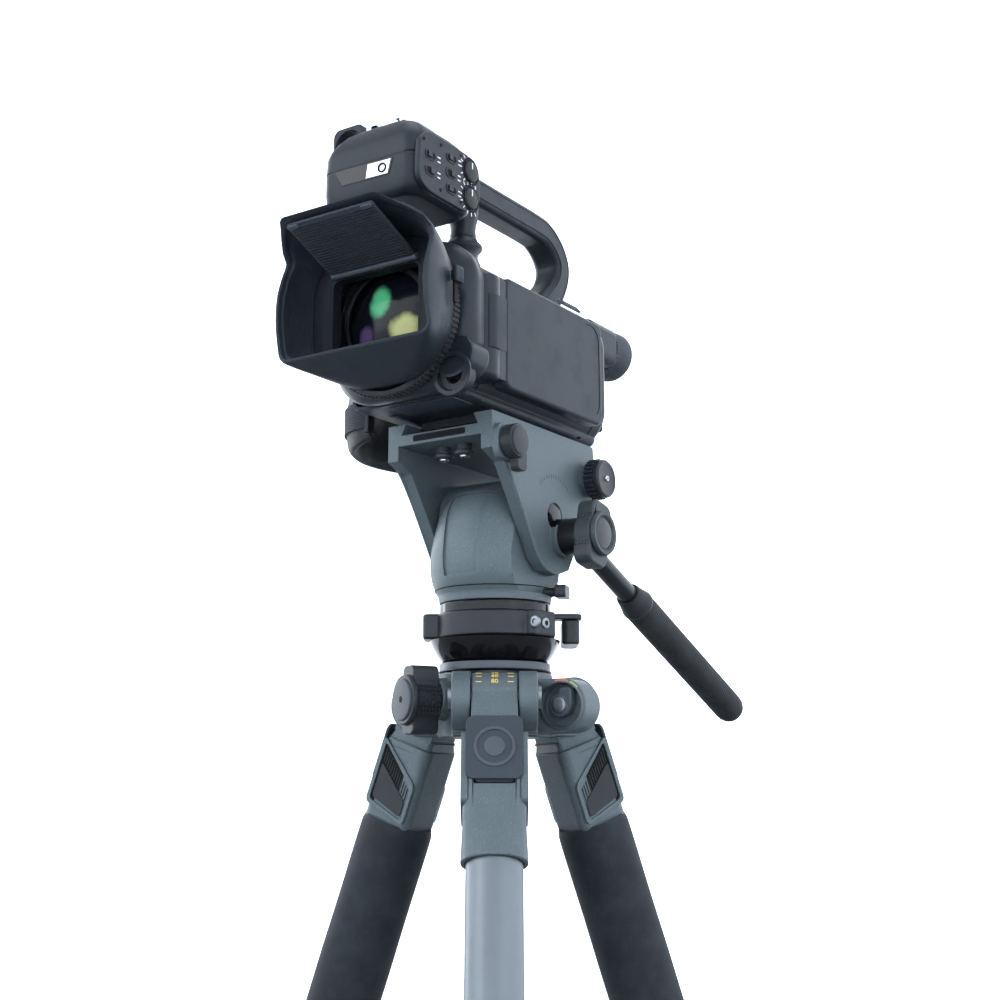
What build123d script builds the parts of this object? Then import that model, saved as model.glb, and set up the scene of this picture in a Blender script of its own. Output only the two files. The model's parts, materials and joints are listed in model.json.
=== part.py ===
from build123d import *
import math
import os

# Compact camcorder on a fluid head and a three-legged stand, in millimetres.
# The camcorder looks along -Y, +X is its left side and +Z is up. Everything is laid out
# about the stand's centre line, with heights measured from the leveller; place() then
# shifts each piece so that the floor is z = 0 and the footprint's middle is the origin.

# ---------------------------------------------------------------- driving dimensions
# stand
HUB_PIVOT_R = 38.0
HUB_PIVOT_Z = -60.0
LEG_SPREAD = 20.0
LEG_TO_FOOT = 585.0
LEG_AZIMUTHS = (-56.0, 64.0, 184.0)
LEG_DRUM_R = 12.0
LEG_DRUM_HALF = 11.8
PIVOT_BOLT_R = 4.0
RUNNING = 0.05
CASTING_LENGTH = 88.0
CASTING_HALF_WIDTH = 14.1
UPPER_TUBE_R = 14.0
UPPER_TUBE_END = 330.0
LOWER_TUBE_R = 12.0
TUBE_WALL = 1.5
SLEEVE_R = 19.5
SLEEVE_START = 69.0
SLEEVE_END = 306.0
COLLAR_R = 18.0
COLLAR_LENGTH = 32.0
FOOT_R = 15.0
FOOT_FLAT = 13.0
LATCH_GAP = 0.3

# hub
SPIDER_TOP = -46.0
SPIDER_BOTTOM = -80.0
SPIDER_R = 31.0
EAR_INNER = 12.4
EAR_OUTER = 22.0
COLUMN_R = 14.0
COLUMN_WALL = 2.0
COLUMN_BOTTOM = -330.0
COLUMN_THREAD_R = 4.0
KNOB_AZIMUTH = -116.0
KNOB_Z = -61.0
LOBE_AZIMUTH = 4.0
LOBE_R = 14.0
LOBE_CENTRE = 45.0
LOBE_Z = -64.0

# leveller
BALL_R = 37.5
BALL_Z = -15.6
LINER_THICK = 0.7
SEAT_GAP = 0.2
CUP_RIM = -40.5
CUP_R = 30.2
RING_TOP = -13.5
RING_BOTTOM = -27.5
RING_R = 32.5
PAN_SEAM = -8.0

# fluid head
TILT_Y = 8.0
TILT_Z = 39.0
AXLE_R = 6.0
CHEEK_INNER = 27.0
CHEEK_OUTER = 34.0
DECK_TOP = 86.0
DECK_BOTTOM = 74.0
DECK_FRONT = -53.0
DECK_REAR = 50.0
DOVETAIL_TOP = 44.0
DOVETAIL_BOTTOM = 50.0
DOVETAIL_DEPTH = 6.0
PLATE_TOP = 89.0
PLATE_HALF_LENGTH = 40.0
BAR_Y = 14.0
BAR_Z = 28.0
BAR_X = 43.5
BAR_SLOPE = 24.0
BAR_TUBE_R = 5.6
BAR_LENGTH = 210.0
GRIP_START = 62.0
GRIP_R = 9.4

# camcorder
LENS_Z = 129.0
BODY_FRONT = -79.0
BODY_REAR = 66.0
BODY_LEFT = 36.0
BODY_RIGHT = -45.0
BODY_TOP = 169.0
WALL = 2.4
SHELL_R = 46.0
SHELL_FRONT = -91.0
HOOD_REAR = -98.0
HOOD_TIP = -149.0
MASK_Y = -106.0
HINGE_X = 38.5
HINGE_Y = -67.5
HINGE_R = 8.5
PANEL_X = 37.6
PANEL_THICK = 8.0
PANEL_FRONT = -57.0
PANEL_REAR = 42.0
PANEL_BOTTOM = 95.0
PANEL_TOP = 155.0
EVF_X = 12.0
EVF_Z = 159.0
RECORD_SPOT = (-28.0, 151.0)
HANDLE_HALF = 9.0
HANDLE_TOP = 230.0
HANDLE_BOTTOM = 214.0
BLOCK_HALF = 31.0
BLOCK_FRONT = -117.0
BLOCK_REAR = -64.0
BLOCK_BOTTOM = 186.0
BLOCK_TOP = 219.0
SCREW_Y = -32.0
SCREW_BOTTOM = 175.6
SCREW_TOP = 193.0

# ---------------------------------------------------------------- frame and helpers
FOOT_RING = HUB_PIVOT_R + LEG_TO_FOOT * math.sin(math.radians(LEG_SPREAD))
FOOT_Z = HUB_PIVOT_Z - LEG_TO_FOOT * math.cos(math.radians(LEG_SPREAD))
FLOOR_Z = FOOT_Z - FOOT_FLAT
FOOT_X = [FOOT_RING * math.cos(math.radians(a)) for a in LEG_AZIMUTHS]
FOOT_Y = [FOOT_RING * math.sin(math.radians(a)) for a in LEG_AZIMUTHS]
AXIS_X = -(min(FOOT_X) + max(FOOT_X)) / 2
AXIS_Y = -(min(FOOT_Y) + max(FOOT_Y)) / 2

os.makedirs("parts", exist_ok=True)


def place(part, label, location=Location()):
    """Moves a finished piece to its place in the part's frame and writes it."""
    moved = part.moved(location)
    moved = moved.moved(Location((AXIS_X, AXIS_Y, -FLOOR_Z)))
    moved.label = label
    export_step(moved, f"parts/{label}.step")


def x_plane(x, y=0.0, z=0.0):
    """Plane facing +X, with its own x along +Y and its own y along +Z."""
    return Plane(origin=(x, y, z), x_dir=(0, 1, 0), z_dir=(1, 0, 0))


def front_plane(y, x=0.0, z=0.0):
    """Plane facing -Y, with its own x along +X and its own y along +Z."""
    return Plane(origin=(x, y, z), x_dir=(1, 0, 0), z_dir=(0, -1, 0))


def radial_plane(azimuth, radius, z):
    """Plane facing outward from the centre line, with its own y along +Z."""
    a = math.radians(azimuth)
    out = (math.cos(a), math.sin(a), 0)
    side = (-math.sin(a), math.cos(a), 0)
    return Plane(origin=(radius * out[0], radius * out[1], z), x_dir=side, z_dir=out)


def side_plane(azimuth, offset):
    """Upright plane through the centre line: own x outward, own y up, facing sideways."""
    a = math.radians(azimuth)
    out = (math.cos(a), math.sin(a), 0)
    side = (math.sin(a), -math.cos(a), 0)
    return Plane(origin=(offset * side[0], offset * side[1], 0), x_dir=out, z_dir=side)


def leg_location(azimuth):
    """Leg frame: z up along the leg, x outward, origin on the leg's hinge."""
    a = math.radians(azimuth)
    pivot = (HUB_PIVOT_R * math.cos(a), HUB_PIVOT_R * math.sin(a), HUB_PIVOT_Z)
    return Location(pivot, (0, 0, azimuth)) * Location((0, 0, 0), (0, -LEG_SPREAD, 0))


# ---------------------------------------------------------------- legs
# Each leg is drawn hanging straight down from its hinge, then swung out to the spread.
WINDOW_TOP = -26.0
WINDOW_BOTTOM = -52.0
WINDOW_MID = (WINDOW_TOP + WINDOW_BOTTOM) / 2
WINDOW_SPAN = WINDOW_TOP - WINDOW_BOTTOM

with BuildPart() as leg_casting:
    with BuildSketch(Plane.XZ.offset(-LEG_DRUM_HALF)):
        Circle(LEG_DRUM_R)
        with BuildLine():
            Polyline((-11, 3), (11, 3), (13.5, -19.5), (-12.5, -19.5), close=True)
        make_face()
    extrude(amount=2 * LEG_DRUM_HALF)
    with BuildSketch(Plane.XY.offset(-19)):
        RectangleRounded(26, 2 * LEG_DRUM_HALF, 2)
    with BuildSketch(Plane.XY.offset(-24)):
        RectangleRounded(28, 2 * CASTING_HALF_WIDTH, 3)
    loft()
    with BuildSketch(Plane.XY.offset(-66)):
        RectangleRounded(30, 2 * CASTING_HALF_WIDTH + 3, 6)
    extrude(amount=42)
    with BuildSketch(Plane.XY.offset(-66)):
        RectangleRounded(30, 2 * CASTING_HALF_WIDTH + 3, 6)
    with BuildSketch(Plane.XY.offset(-CASTING_LENGTH)):
        Circle(UPPER_TUBE_R + 2.6)
    loft()
    with BuildSketch(Plane.XZ.offset(-30)):
        Circle(PIVOT_BOLT_R + RUNNING)
    extrude(amount=60, mode=Mode.SUBTRACT)
    with BuildSketch(Plane.XY.offset(-CASTING_LENGTH - 1)):
        Circle(UPPER_TUBE_R + RUNNING)
    extrude(amount=CASTING_LENGTH + 1 - 60, mode=Mode.SUBTRACT)
    with Locations((5 + 10, 0, WINDOW_MID)):
        Box(20, 20, WINDOW_SPAN, mode=Mode.SUBTRACT)
    with Locations((3, 0, WINDOW_MID)):
        Box(13, 40, WINDOW_SPAN - 4, mode=Mode.SUBTRACT)

with BuildPart() as angle_latch:
    with Locations((10.1, 0, WINDOW_MID)):
        Box(9.6, 20 - 2 * LATCH_GAP, WINDOW_SPAN - 2 * LATCH_GAP)
    fillet(angle_latch.edges().filter_by(Axis.X), 2)
    with Locations((1.2, 0, WINDOW_MID)):
        Box(8.4, 26, WINDOW_SPAN - 5)
    with Locations((15.4, 0, WINDOW_MID)):
        Box(1.6, 16, WINDOW_SPAN - 8)

with BuildPart() as upper_tube:
    with BuildSketch(Plane.XY.offset(-UPPER_TUBE_END)):
        Circle(UPPER_TUBE_R)
        Circle(UPPER_TUBE_R - TUBE_WALL, mode=Mode.SUBTRACT)
    extrude(amount=UPPER_TUBE_END - 62)

with BuildPart() as foam_sleeve:
    with BuildSketch(Plane.XY.offset(-SLEEVE_END)):
        Circle(SLEEVE_R)
    extrude(amount=SLEEVE_END - SLEEVE_START)
    fillet(foam_sleeve.edges().group_by(Axis.Z)[0], 2)
    with BuildSketch(Plane.XY.offset(-SLEEVE_END)):
        Circle(UPPER_TUBE_R + RUNNING)
    extrude(amount=SLEEVE_END - SLEEVE_START, mode=Mode.SUBTRACT)
    with BuildSketch(Plane.XY.offset(-66)):
        RectangleRounded(30.2, 2 * CASTING_HALF_WIDTH + 3.2, 6.1)
    with BuildSketch(Plane.XY.offset(-CASTING_LENGTH - 0.1)):
        Circle(UPPER_TUBE_R + 2.7)
    loft(mode=Mode.SUBTRACT)

with BuildPart() as twist_collar:
    with BuildSketch(Plane.XY.offset(-UPPER_TUBE_END - COLLAR_LENGTH + 20)):
        Circle(COLLAR_R)
    extrude(amount=COLLAR_LENGTH)
    fillet(twist_collar.edges().filter_by(GeomType.CIRCLE), 2)
    with BuildSketch(Plane.XY.offset(-UPPER_TUBE_END - 40)):
        Circle(LOWER_TUBE_R + 0.1)
    extrude(amount=80, mode=Mode.SUBTRACT)
    with BuildSketch(Plane.XY.offset(-UPPER_TUBE_END - 0.4)):
        Circle(UPPER_TUBE_R + RUNNING)
    extrude(amount=40, mode=Mode.SUBTRACT)

with BuildPart() as lower_tube:
    with BuildSketch(Plane.XY.offset(-LEG_TO_FOOT + 10)):
        Circle(LOWER_TUBE_R)
        Circle(LOWER_TUBE_R - TUBE_WALL, mode=Mode.SUBTRACT)
    extrude(amount=LEG_TO_FOOT - 110)

spread = math.radians(LEG_SPREAD)
up_in_leg = (math.sin(spread), 0, math.cos(spread))
floor_in_leg = Plane(
    origin=(-FOOT_FLAT * up_in_leg[0], 0, -LEG_TO_FOOT - FOOT_FLAT * up_in_leg[2]),
    z_dir=up_in_leg,
)

with BuildPart() as foot:
    with Locations((0, 0, -LEG_TO_FOOT)):
        Sphere(FOOT_R)
    with BuildSketch(Plane.XY.offset(-LEG_TO_FOOT)):
        Circle(FOOT_R - 0.6)
    extrude(amount=26, taper=1.5)
    with BuildSketch(Plane.XY.offset(-LEG_TO_FOOT + 10 - 0.2)):
        Circle(LOWER_TUBE_R + RUNNING)
    extrude(amount=40, mode=Mode.SUBTRACT)
    split(bisect_by=floor_in_leg, keep=Keep.TOP)

for number, azimuth in enumerate(LEG_AZIMUTHS, start=1):
    where = leg_location(azimuth)
    place(leg_casting.part, f"leg_{number}_casting", where)
    place(angle_latch.part, f"leg_{number}_angle_latch", where)
    place(upper_tube.part, f"leg_{number}_upper_tube", where)
    place(twist_collar.part, f"leg_{number}_twist_collar", where)
    place(lower_tube.part, f"leg_{number}_lower_tube", where)
    place(foot.part, f"leg_{number}_foot", where)
    if number > 1:
        place(foam_sleeve.part, f"leg_{number}_foam_sleeve", where)

# ---------------------------------------------------------------- hub
with BuildPart() as spider:
    with BuildSketch(Plane.XY.offset(SPIDER_BOTTOM)):
        Circle(SPIDER_R)
    extrude(amount=SPIDER_TOP - SPIDER_BOTTOM)
    for azimuth in LEG_AZIMUTHS:
        with BuildSketch(side_plane(azimuth, -EAR_OUTER)):
            with Locations((HUB_PIVOT_R, HUB_PIVOT_Z - 2)):
                Circle(15)
            with Locations((HUB_PIVOT_R - 17, (SPIDER_TOP + SPIDER_BOTTOM) / 2 - 1.5)):
                Rectangle(34, SPIDER_TOP - SPIDER_BOTTOM - 5)
        extrude(amount=2 * EAR_OUTER)
    for azimuth in LEG_AZIMUTHS:
        with BuildSketch(side_plane(azimuth, -EAR_INNER)):
            with Locations((HUB_PIVOT_R + 20 - 14, HUB_PIVOT_Z)):
                Rectangle(40, 60)
        extrude(amount=2 * EAR_INNER, mode=Mode.SUBTRACT)
        with BuildSketch(side_plane(azimuth, -40)):
            with Locations((HUB_PIVOT_R, HUB_PIVOT_Z)):
                Circle(PIVOT_BOLT_R + RUNNING)
        extrude(amount=80, mode=Mode.SUBTRACT)
    with BuildSketch(radial_plane(KNOB_AZIMUTH, 20, HUB_PIVOT_Z)):
        Circle(11)
    extrude(amount=17)
    with BuildSketch(side_plane(LOBE_AZIMUTH, -9)):
        with Locations((LOBE_CENTRE, LOBE_Z)):
            Circle(LOBE_R)
        with Locations((LOBE_CENTRE - 12, LOBE_Z)):
            Rectangle(24, 2 * LOBE_R)
    extrude(amount=18)
    with BuildSketch(side_plane(LOBE_AZIMUTH, 4)):
        with Locations((LOBE_CENTRE, LOBE_Z)):
            Circle(LOBE_R - 2.5)
    extrude(amount=8, mode=Mode.SUBTRACT)
    with BuildSketch(Plane.XY.offset(SPIDER_BOTTOM - 1)):
        Circle(COLUMN_R + 0.3)
    extrude(amount=60, mode=Mode.SUBTRACT)
    with BuildSketch(Plane.XY.offset(-60)):
        Circle(26.5)
    extrude(amount=40, mode=Mode.SUBTRACT)
    with BuildSketch(radial_plane(KNOB_AZIMUTH, 27, KNOB_Z)):
        Circle(3 + RUNNING)
    extrude(amount=20, mode=Mode.SUBTRACT)
place(spider.part, "spider")

with BuildPart() as pivot_bolts:
    for azimuth in LEG_AZIMUTHS:
        with BuildSketch(side_plane(azimuth, -EAR_OUTER)):
            with Locations((HUB_PIVOT_R, HUB_PIVOT_Z)):
                Circle(PIVOT_BOLT_R)
        extrude(amount=2 * EAR_OUTER)
        for side in (-1, 1):
            with BuildSketch(side_plane(azimuth, side * (EAR_OUTER + 1))):
                with Locations((HUB_PIVOT_R, HUB_PIVOT_Z)):
                    Circle(6.5)
                    RegularPolygon(3, 6, mode=Mode.SUBTRACT)
            extrude(amount=1, both=True)
place(pivot_bolts.part, "leg_pivot_bolts")

# The column ends in a cup that seats the half ball; a thin liner lets the ball tilt.
CUP_SEAT_R = BALL_R + LINER_THICK + 2 * SEAT_GAP

with BuildPart() as centre_column:
    with BuildSketch(Plane.XZ):
        with BuildLine():
            Polyline(
                (0, -58),
                (25, -58),
                (26, -45.2),
                (CUP_R, -45.2),
                (CUP_R, CUP_RIM),
                (0, CUP_RIM),
                close=True,
            )
        make_face()
    revolve(axis=Axis.Z)
    with BuildSketch(Plane.XY.offset(COLUMN_BOTTOM)):
        Circle(COLUMN_R)
    extrude(amount=-58 - COLUMN_BOTTOM)
    with BuildSketch(Plane.XY.offset(COLUMN_BOTTOM + 20)):
        Circle(COLUMN_R - COLUMN_WALL)
    extrude(amount=-62 - COLUMN_BOTTOM - 20, mode=Mode.SUBTRACT)
    with BuildSketch(Plane.XY.offset(COLUMN_BOTTOM)):
        Circle(COLUMN_THREAD_R)
    extrude(amount=12, mode=Mode.SUBTRACT)
    with Locations((0, 0, BALL_Z)):
        Sphere(CUP_SEAT_R, mode=Mode.SUBTRACT)
place(centre_column.part, "centre_column")

with BuildPart() as ball_liner:
    with Locations((0, 0, BALL_Z)):
        Sphere(BALL_R + SEAT_GAP + LINER_THICK)
        Sphere(BALL_R + SEAT_GAP, mode=Mode.SUBTRACT)
    with Locations((0, 0, CUP_RIM - 1)):
        Box(100, 100, 100, align=(Align.CENTER, Align.CENTER, Align.MIN), mode=Mode.SUBTRACT)
place(ball_liner.part, "ball_liner")

with BuildPart() as half_ball:
    with Locations((0, 0, BALL_Z)):
        Sphere(BALL_R)
    with Locations((0, 0, RING_BOTTOM - 0.5)):
        Box(100, 100, 100, align=(Align.CENTER, Align.CENTER, Align.MIN), mode=Mode.SUBTRACT)
    with BuildSketch(Plane.XY.offset(RING_BOTTOM - 0.5)):
        Circle(22)
    extrude(amount=RING_TOP - RING_BOTTOM + 0.5)
    with BuildSketch(Plane.XY.offset(RING_TOP)):
        Circle(30.4)
    extrude(amount=PAN_SEAM - RING_TOP - 0.4)
    fillet(half_ball.edges().group_by(Axis.Z)[-1], 0.8)
    with BuildSketch(Plane.XY.offset(PAN_SEAM - 12)):
        Circle(9.3)
    extrude(amount=20, mode=Mode.SUBTRACT)
place(half_ball.part, "half_ball")

# The clamp's lever swings on an upright pin under a thin ear of the ring.
LEVER_AZIMUTH = math.radians(34)
LEVER_OUT = (math.cos(LEVER_AZIMUTH), math.sin(LEVER_AZIMUTH), 0)
LEVER_TOP = -17.2
LEVER_BOTTOM = -30.0

with BuildPart() as clamp_ring:
    with BuildSketch(Plane.XY.offset(RING_BOTTOM)):
        Circle(RING_R)
        for azimuth, reach in ((214, 39), (-8, 36)):
            with Locations(Location((0, 0, 0), (0, 0, azimuth))):
                with Locations((reach / 2, 0)):
                    RectangleRounded(reach, 20, 3)
    extrude(amount=RING_TOP - RING_BOTTOM - 0.3)
    chamfer(clamp_ring.edges().group_by(Axis.Z)[-1], 0.8)
    chamfer(clamp_ring.edges().group_by(Axis.Z)[0], 0.8)
    with BuildSketch(Plane(origin=(0, 0, LEVER_TOP + 0.3), x_dir=LEVER_OUT, z_dir=(0, 0, 1))):
        with Locations((34, -4)):
            RectangleRounded(26, 12, 4)
    extrude(amount=RING_TOP - LEVER_TOP - 0.6)
    with BuildSketch(Plane.XY.offset(RING_BOTTOM - 1)):
        Circle(22 + RUNNING)
    extrude(amount=20, mode=Mode.SUBTRACT)
    with BuildSketch(Plane(origin=(0, 0, LEVER_TOP), x_dir=LEVER_OUT, z_dir=(0, 0, 1))):
        with Locations((41, -4)):
            Circle(2.5 + RUNNING)
    extrude(amount=10, mode=Mode.SUBTRACT)
place(clamp_ring.part, "bowl_clamp_ring")

with BuildPart() as clamp_lever:
    with BuildSketch(Plane(origin=(0, 0, LEVER_BOTTOM), x_dir=LEVER_OUT, z_dir=(0, 0, 1))):
        with Locations((41, 6)):
            RectangleRounded(9.6, 30, 4)
    extrude(amount=LEVER_TOP - LEVER_BOTTOM)
    fillet(clamp_lever.edges().group_by(Axis.Z)[0], 1.5)
    with BuildSketch(Plane(origin=(0, 0, LEVER_TOP), x_dir=LEVER_OUT, z_dir=(0, 0, 1))):
        with Locations((41, -4)):
            Circle(2.5)
    extrude(amount=3)
place(clamp_lever.part, "bowl_clamp_lever")

with BuildPart() as column_knob:
    with BuildSketch(radial_plane(KNOB_AZIMUTH, 28, KNOB_Z)):
        Circle(3)
    extrude(amount=12)
    with BuildSketch(radial_plane(KNOB_AZIMUTH, 37.4, KNOB_Z)):
        Circle(10.5)
        RectangleRounded(13, 36, 4)
    extrude(amount=15)
    with BuildSketch(radial_plane(KNOB_AZIMUTH, 52.4, KNOB_Z)):
        Circle(13)
        Circle(3, mode=Mode.SUBTRACT)
    extrude(amount=3)
place(column_knob.part, "column_lock_knob")

with BuildPart() as column_lever:
    with BuildSketch(side_plane(LOBE_AZIMUTH, 4.3)):
        with Locations((LOBE_CENTRE, LOBE_Z)):
            Circle(6)
        with Locations((LOBE_CENTRE + 3, LOBE_Z + 4)):
            RectangleRounded(7, 10, 2)
    extrude(amount=6.5)
    with BuildSketch(side_plane(LOBE_AZIMUTH, 10)):
        with Locations((LOBE_CENTRE, LOBE_Z)):
            Circle(4.2)
    extrude(amount=2)
place(column_lever.part, "column_release_lever")

# ---------------------------------------------------------------- fluid head
def housing_profile(inset):
    """Half outline of the head's housing, drawn about the pan axis."""
    with BuildLine() as outline:
        Polyline((0, 52), (0, PAN_SEAM), (30.4 - inset, PAN_SEAM), (31 - inset, -4))
        Spline((31 - inset, -4), (35.8 - inset, 11), (34 - inset, 27), (29 - inset, 44), (23 - inset, 52))
        Line((23 - inset, 52), (0, 52))
    return outline

with BuildPart() as housing_core:
    with BuildSketch(Plane.XZ):
        add(housing_profile(1.2).line)
        make_face()
    revolve(axis=Axis.Z)

with BuildPart() as inset_panel:
    with BuildSketch(Plane.XY.offset(5)):
        with Locations((0, -32)):
            Rectangle(20, 24)
    with BuildSketch(Plane.XY.offset(50)):
        with Locations((0, -32)):
            Rectangle(26, 24)
    loft()
    add(housing_core.part, mode=Mode.SUBTRACT)

with BuildPart() as head_housing:
    with BuildSketch(Plane.XZ):
        add(housing_profile(0).line)
        make_face()
    revolve(axis=Axis.Z)
    with BuildSketch(x_plane(-CHEEK_INNER + 0.5)):
        with Locations((TILT_Y - 2, TILT_Z)):
            Circle(23)
    extrude(amount=2 * CHEEK_INNER - 1)
    for side in (-1, 1):
        with Locations((side * (CHEEK_INNER - 0.5 + 20), 0, 50)):
            Box(40, 120, 108, mode=Mode.SUBTRACT)
    add(inset_panel.part, mode=Mode.SUBTRACT)
    with BuildSketch(x_plane(-60)):
        with Locations((TILT_Y, TILT_Z)):
            Circle(AXLE_R + RUNNING)
    extrude(amount=120, mode=Mode.SUBTRACT)
    with BuildSketch(Plane.XY.offset(PAN_SEAM - 11)):
        Circle(9.3 - RUNNING)
    extrude(amount=12)
    with BuildSketch(radial_plane(20, 24, -2)):
        Circle(2.5 + RUNNING)
    extrude(amount=10, mode=Mode.SUBTRACT)
place(head_housing.part, "head_housing")

with BuildPart() as pan_lock:
    with BuildSketch(radial_plane(20, 25, -2)):
        Circle(2.5)
    extrude(amount=12)
    with BuildSketch(radial_plane(20, 34.5, -2)):
        RectangleRounded(13, 7, 2)
    extrude(amount=6)
place(pan_lock.part, "pan_lock_lever")

with BuildPart() as tilt_axle:
    with BuildSketch(x_plane(-CHEEK_OUTER + 1.5)):
        with Locations((TILT_Y, TILT_Z)):
            Circle(AXLE_R)
    extrude(amount=2 * CHEEK_OUTER - 3)
place(tilt_axle.part, "tilt_axle")

CHEEK_OUTLINE = (
    (DECK_FRONT, DECK_TOP),
    (DECK_REAR, DECK_TOP),
    (DECK_REAR + 2, 68),
    (49, 53),
    (35, 43),
    (30, 24),
    (22, 11),
    (10, 7),
    (-2, 8),
    (-10, 14),
    (-24, 36),
    (-41, 61),
    (DECK_FRONT, 66),
)
DRAG_KNOB = (43.0, 65.0)
PLATE_KNOB = (-43.0, 70.0)

with BuildPart() as tilt_cradle:
    for side in (-CHEEK_OUTER, CHEEK_INNER):
        with BuildSketch(x_plane(side)):
            with BuildLine():
                Polyline(*CHEEK_OUTLINE, close=True)
            make_face()
        extrude(amount=CHEEK_OUTER - CHEEK_INNER)
    fillet(tilt_cradle.edges().filter_by(Axis.X).group_by(Axis.Z)[0], 3)
    with Locations((0, (DECK_FRONT + DECK_REAR) / 2, (DECK_TOP + DECK_BOTTOM) / 2)):
        Box(2 * CHEEK_INNER + 2, DECK_REAR - DECK_FRONT, DECK_TOP - DECK_BOTTOM)
    with BuildSketch(x_plane(CHEEK_OUTER)):
        with Locations(PLATE_KNOB):
            RectangleRounded(19, 19, 5)
        with Locations(DRAG_KNOB):
            Circle(9)
        with Locations((BAR_Y, BAR_Z)):
            Circle(11)
    extrude(amount=3.5)
    with BuildSketch(Plane.XZ.offset(80)):
        with BuildLine():
            Polyline(
                (-DOVETAIL_BOTTOM / 2, DECK_TOP - DOVETAIL_DEPTH),
                (DOVETAIL_BOTTOM / 2, DECK_TOP - DOVETAIL_DEPTH),
                (DOVETAIL_TOP / 2, DECK_TOP + 0.01),
                (-DOVETAIL_TOP / 2, DECK_TOP + 0.01),
                close=True,
            )
        make_face()
    extrude(amount=-160, mode=Mode.SUBTRACT)
    with BuildSketch(x_plane(-80)):
        with Locations((TILT_Y, TILT_Z)):
            Circle(AXLE_R + RUNNING)
    extrude(amount=160, mode=Mode.SUBTRACT)
    with BuildSketch(x_plane(CHEEK_OUTER - 1)):
        with Locations((TILT_Y, TILT_Z)):
            Circle(7.5)
    extrude(amount=4, mode=Mode.SUBTRACT)
    with BuildSketch(x_plane(CHEEK_INNER + 1)):
        with Locations((BAR_Y, BAR_Z), DRAG_KNOB, PLATE_KNOB):
            Circle(3 + RUNNING)
    extrude(amount=12, mode=Mode.SUBTRACT)
place(tilt_cradle.part, "tilt_cradle")

with BuildPart() as release_plate:
    with BuildSketch(Plane.XZ.offset(PLATE_HALF_LENGTH)):
        with BuildLine():
            Polyline(
                (-DOVETAIL_BOTTOM / 2 + 0.9, DECK_TOP - DOVETAIL_DEPTH + 0.3),
                (DOVETAIL_BOTTOM / 2 - 0.9, DECK_TOP - DOVETAIL_DEPTH + 0.3),
                (DOVETAIL_TOP / 2 - 0.6, DECK_TOP + 0.3),
                (DOVETAIL_TOP / 2 - 0.6, PLATE_TOP),
                (-DOVETAIL_TOP / 2 + 0.6, PLATE_TOP),
                (-DOVETAIL_TOP / 2 + 0.6, DECK_TOP + 0.3),
                close=True,
            )
        make_face()
    extrude(amount=-2 * PLATE_HALF_LENGTH)
    with BuildSketch(Plane.XY.offset(DECK_TOP - DOVETAIL_DEPTH)):
        SlotOverall(30, 13, rotation=90)
    extrude(amount=4.6, mode=Mode.SUBTRACT)
    with BuildSketch(Plane.XY.offset(DECK_TOP - DOVETAIL_DEPTH)):
        Circle(3.25)
    extrude(amount=20, mode=Mode.SUBTRACT)
    with Locations((0, -PLATE_HALF_LENGTH, DECK_TOP - 2.5)):
        Box(34, 8, 2.4, mode=Mode.SUBTRACT)
place(release_plate.part, "release_plate")

with BuildPart() as camera_screw:
    with BuildSketch(Plane.XY.offset(DECK_TOP - DOVETAIL_DEPTH + 0.5)):
        Circle(5.6)
        Rectangle(12, 1.4, mode=Mode.SUBTRACT)
    extrude(amount=2)
    with BuildSketch(Plane.XY.offset(DECK_TOP - DOVETAIL_DEPTH + 1)):
        Circle(5.6)
    extrude(amount=2.8)
    with BuildSketch(Plane.XY.offset(DECK_TOP - DOVETAIL_DEPTH + 3)):
        Circle(3.1)
    extrude(amount=13)
place(camera_screw.part, "camera_screw")

with BuildPart() as plate_knob:
    with BuildSketch(x_plane(CHEEK_INNER + 2)):
        with Locations(PLATE_KNOB):
            Circle(3)
    extrude(amount=12)
    with BuildSketch(x_plane(CHEEK_OUTER + 3.8)):
        with Locations(PLATE_KNOB):
            Circle(9)
    extrude(amount=7)
    fillet(plate_knob.edges().group_by(Axis.X)[-1], 1)
    with BuildSketch(x_plane(CHEEK_OUTER + 3.8)):
        with Locations((PLATE_KNOB[0] + 5, PLATE_KNOB[1] - 8)):
            RectangleRounded(9, 14, 3)
    extrude(amount=5.4)
place(plate_knob.part, "plate_lock_knob")

with BuildPart() as drag_knob:
    with BuildSketch(x_plane(CHEEK_INNER + 2)):
        with Locations(DRAG_KNOB):
            Circle(3)
    extrude(amount=12)
    with BuildSketch(x_plane(CHEEK_OUTER + 3.8)):
        with Locations(DRAG_KNOB):
            Circle(10.6)
            with PolarLocations(11, 24):
                Circle(0.8, mode=Mode.SUBTRACT)
    extrude(amount=6)
    with BuildSketch(x_plane(CHEEK_OUTER + 9.8)):
        with Locations(DRAG_KNOB):
            Circle(10.8)
            Circle(1.6, mode=Mode.SUBTRACT)
    extrude(amount=2.4)
place(drag_knob.part, "tilt_drag_knob")

# The bar's eye sits between the cradle's boss and the clamp knob.
EYE_INNER = CHEEK_OUTER + 3.8
EYE_OUTER = EYE_INNER + 11
slope = math.radians(BAR_SLOPE)
bar_way = (0, math.cos(slope), -math.sin(slope))
bar_plane = Plane(origin=(BAR_X, BAR_Y, BAR_Z), x_dir=(1, 0, 0), z_dir=bar_way)

with BuildPart() as pan_bar:
    with BuildSketch(x_plane(EYE_INNER)):
        with Locations((BAR_Y, BAR_Z)):
            Circle(10)
    extrude(amount=EYE_OUTER - EYE_INNER)
    with BuildSketch(bar_plane):
        Circle(BAR_TUBE_R)
    extrude(amount=BAR_LENGTH - 8)
    with BuildSketch(x_plane(EYE_INNER - 1)):
        with Locations((BAR_Y, BAR_Z)):
            Circle(3.4)
    extrude(amount=EYE_OUTER - EYE_INNER + 2, mode=Mode.SUBTRACT)
place(pan_bar.part, "pan_bar_tube")

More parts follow.
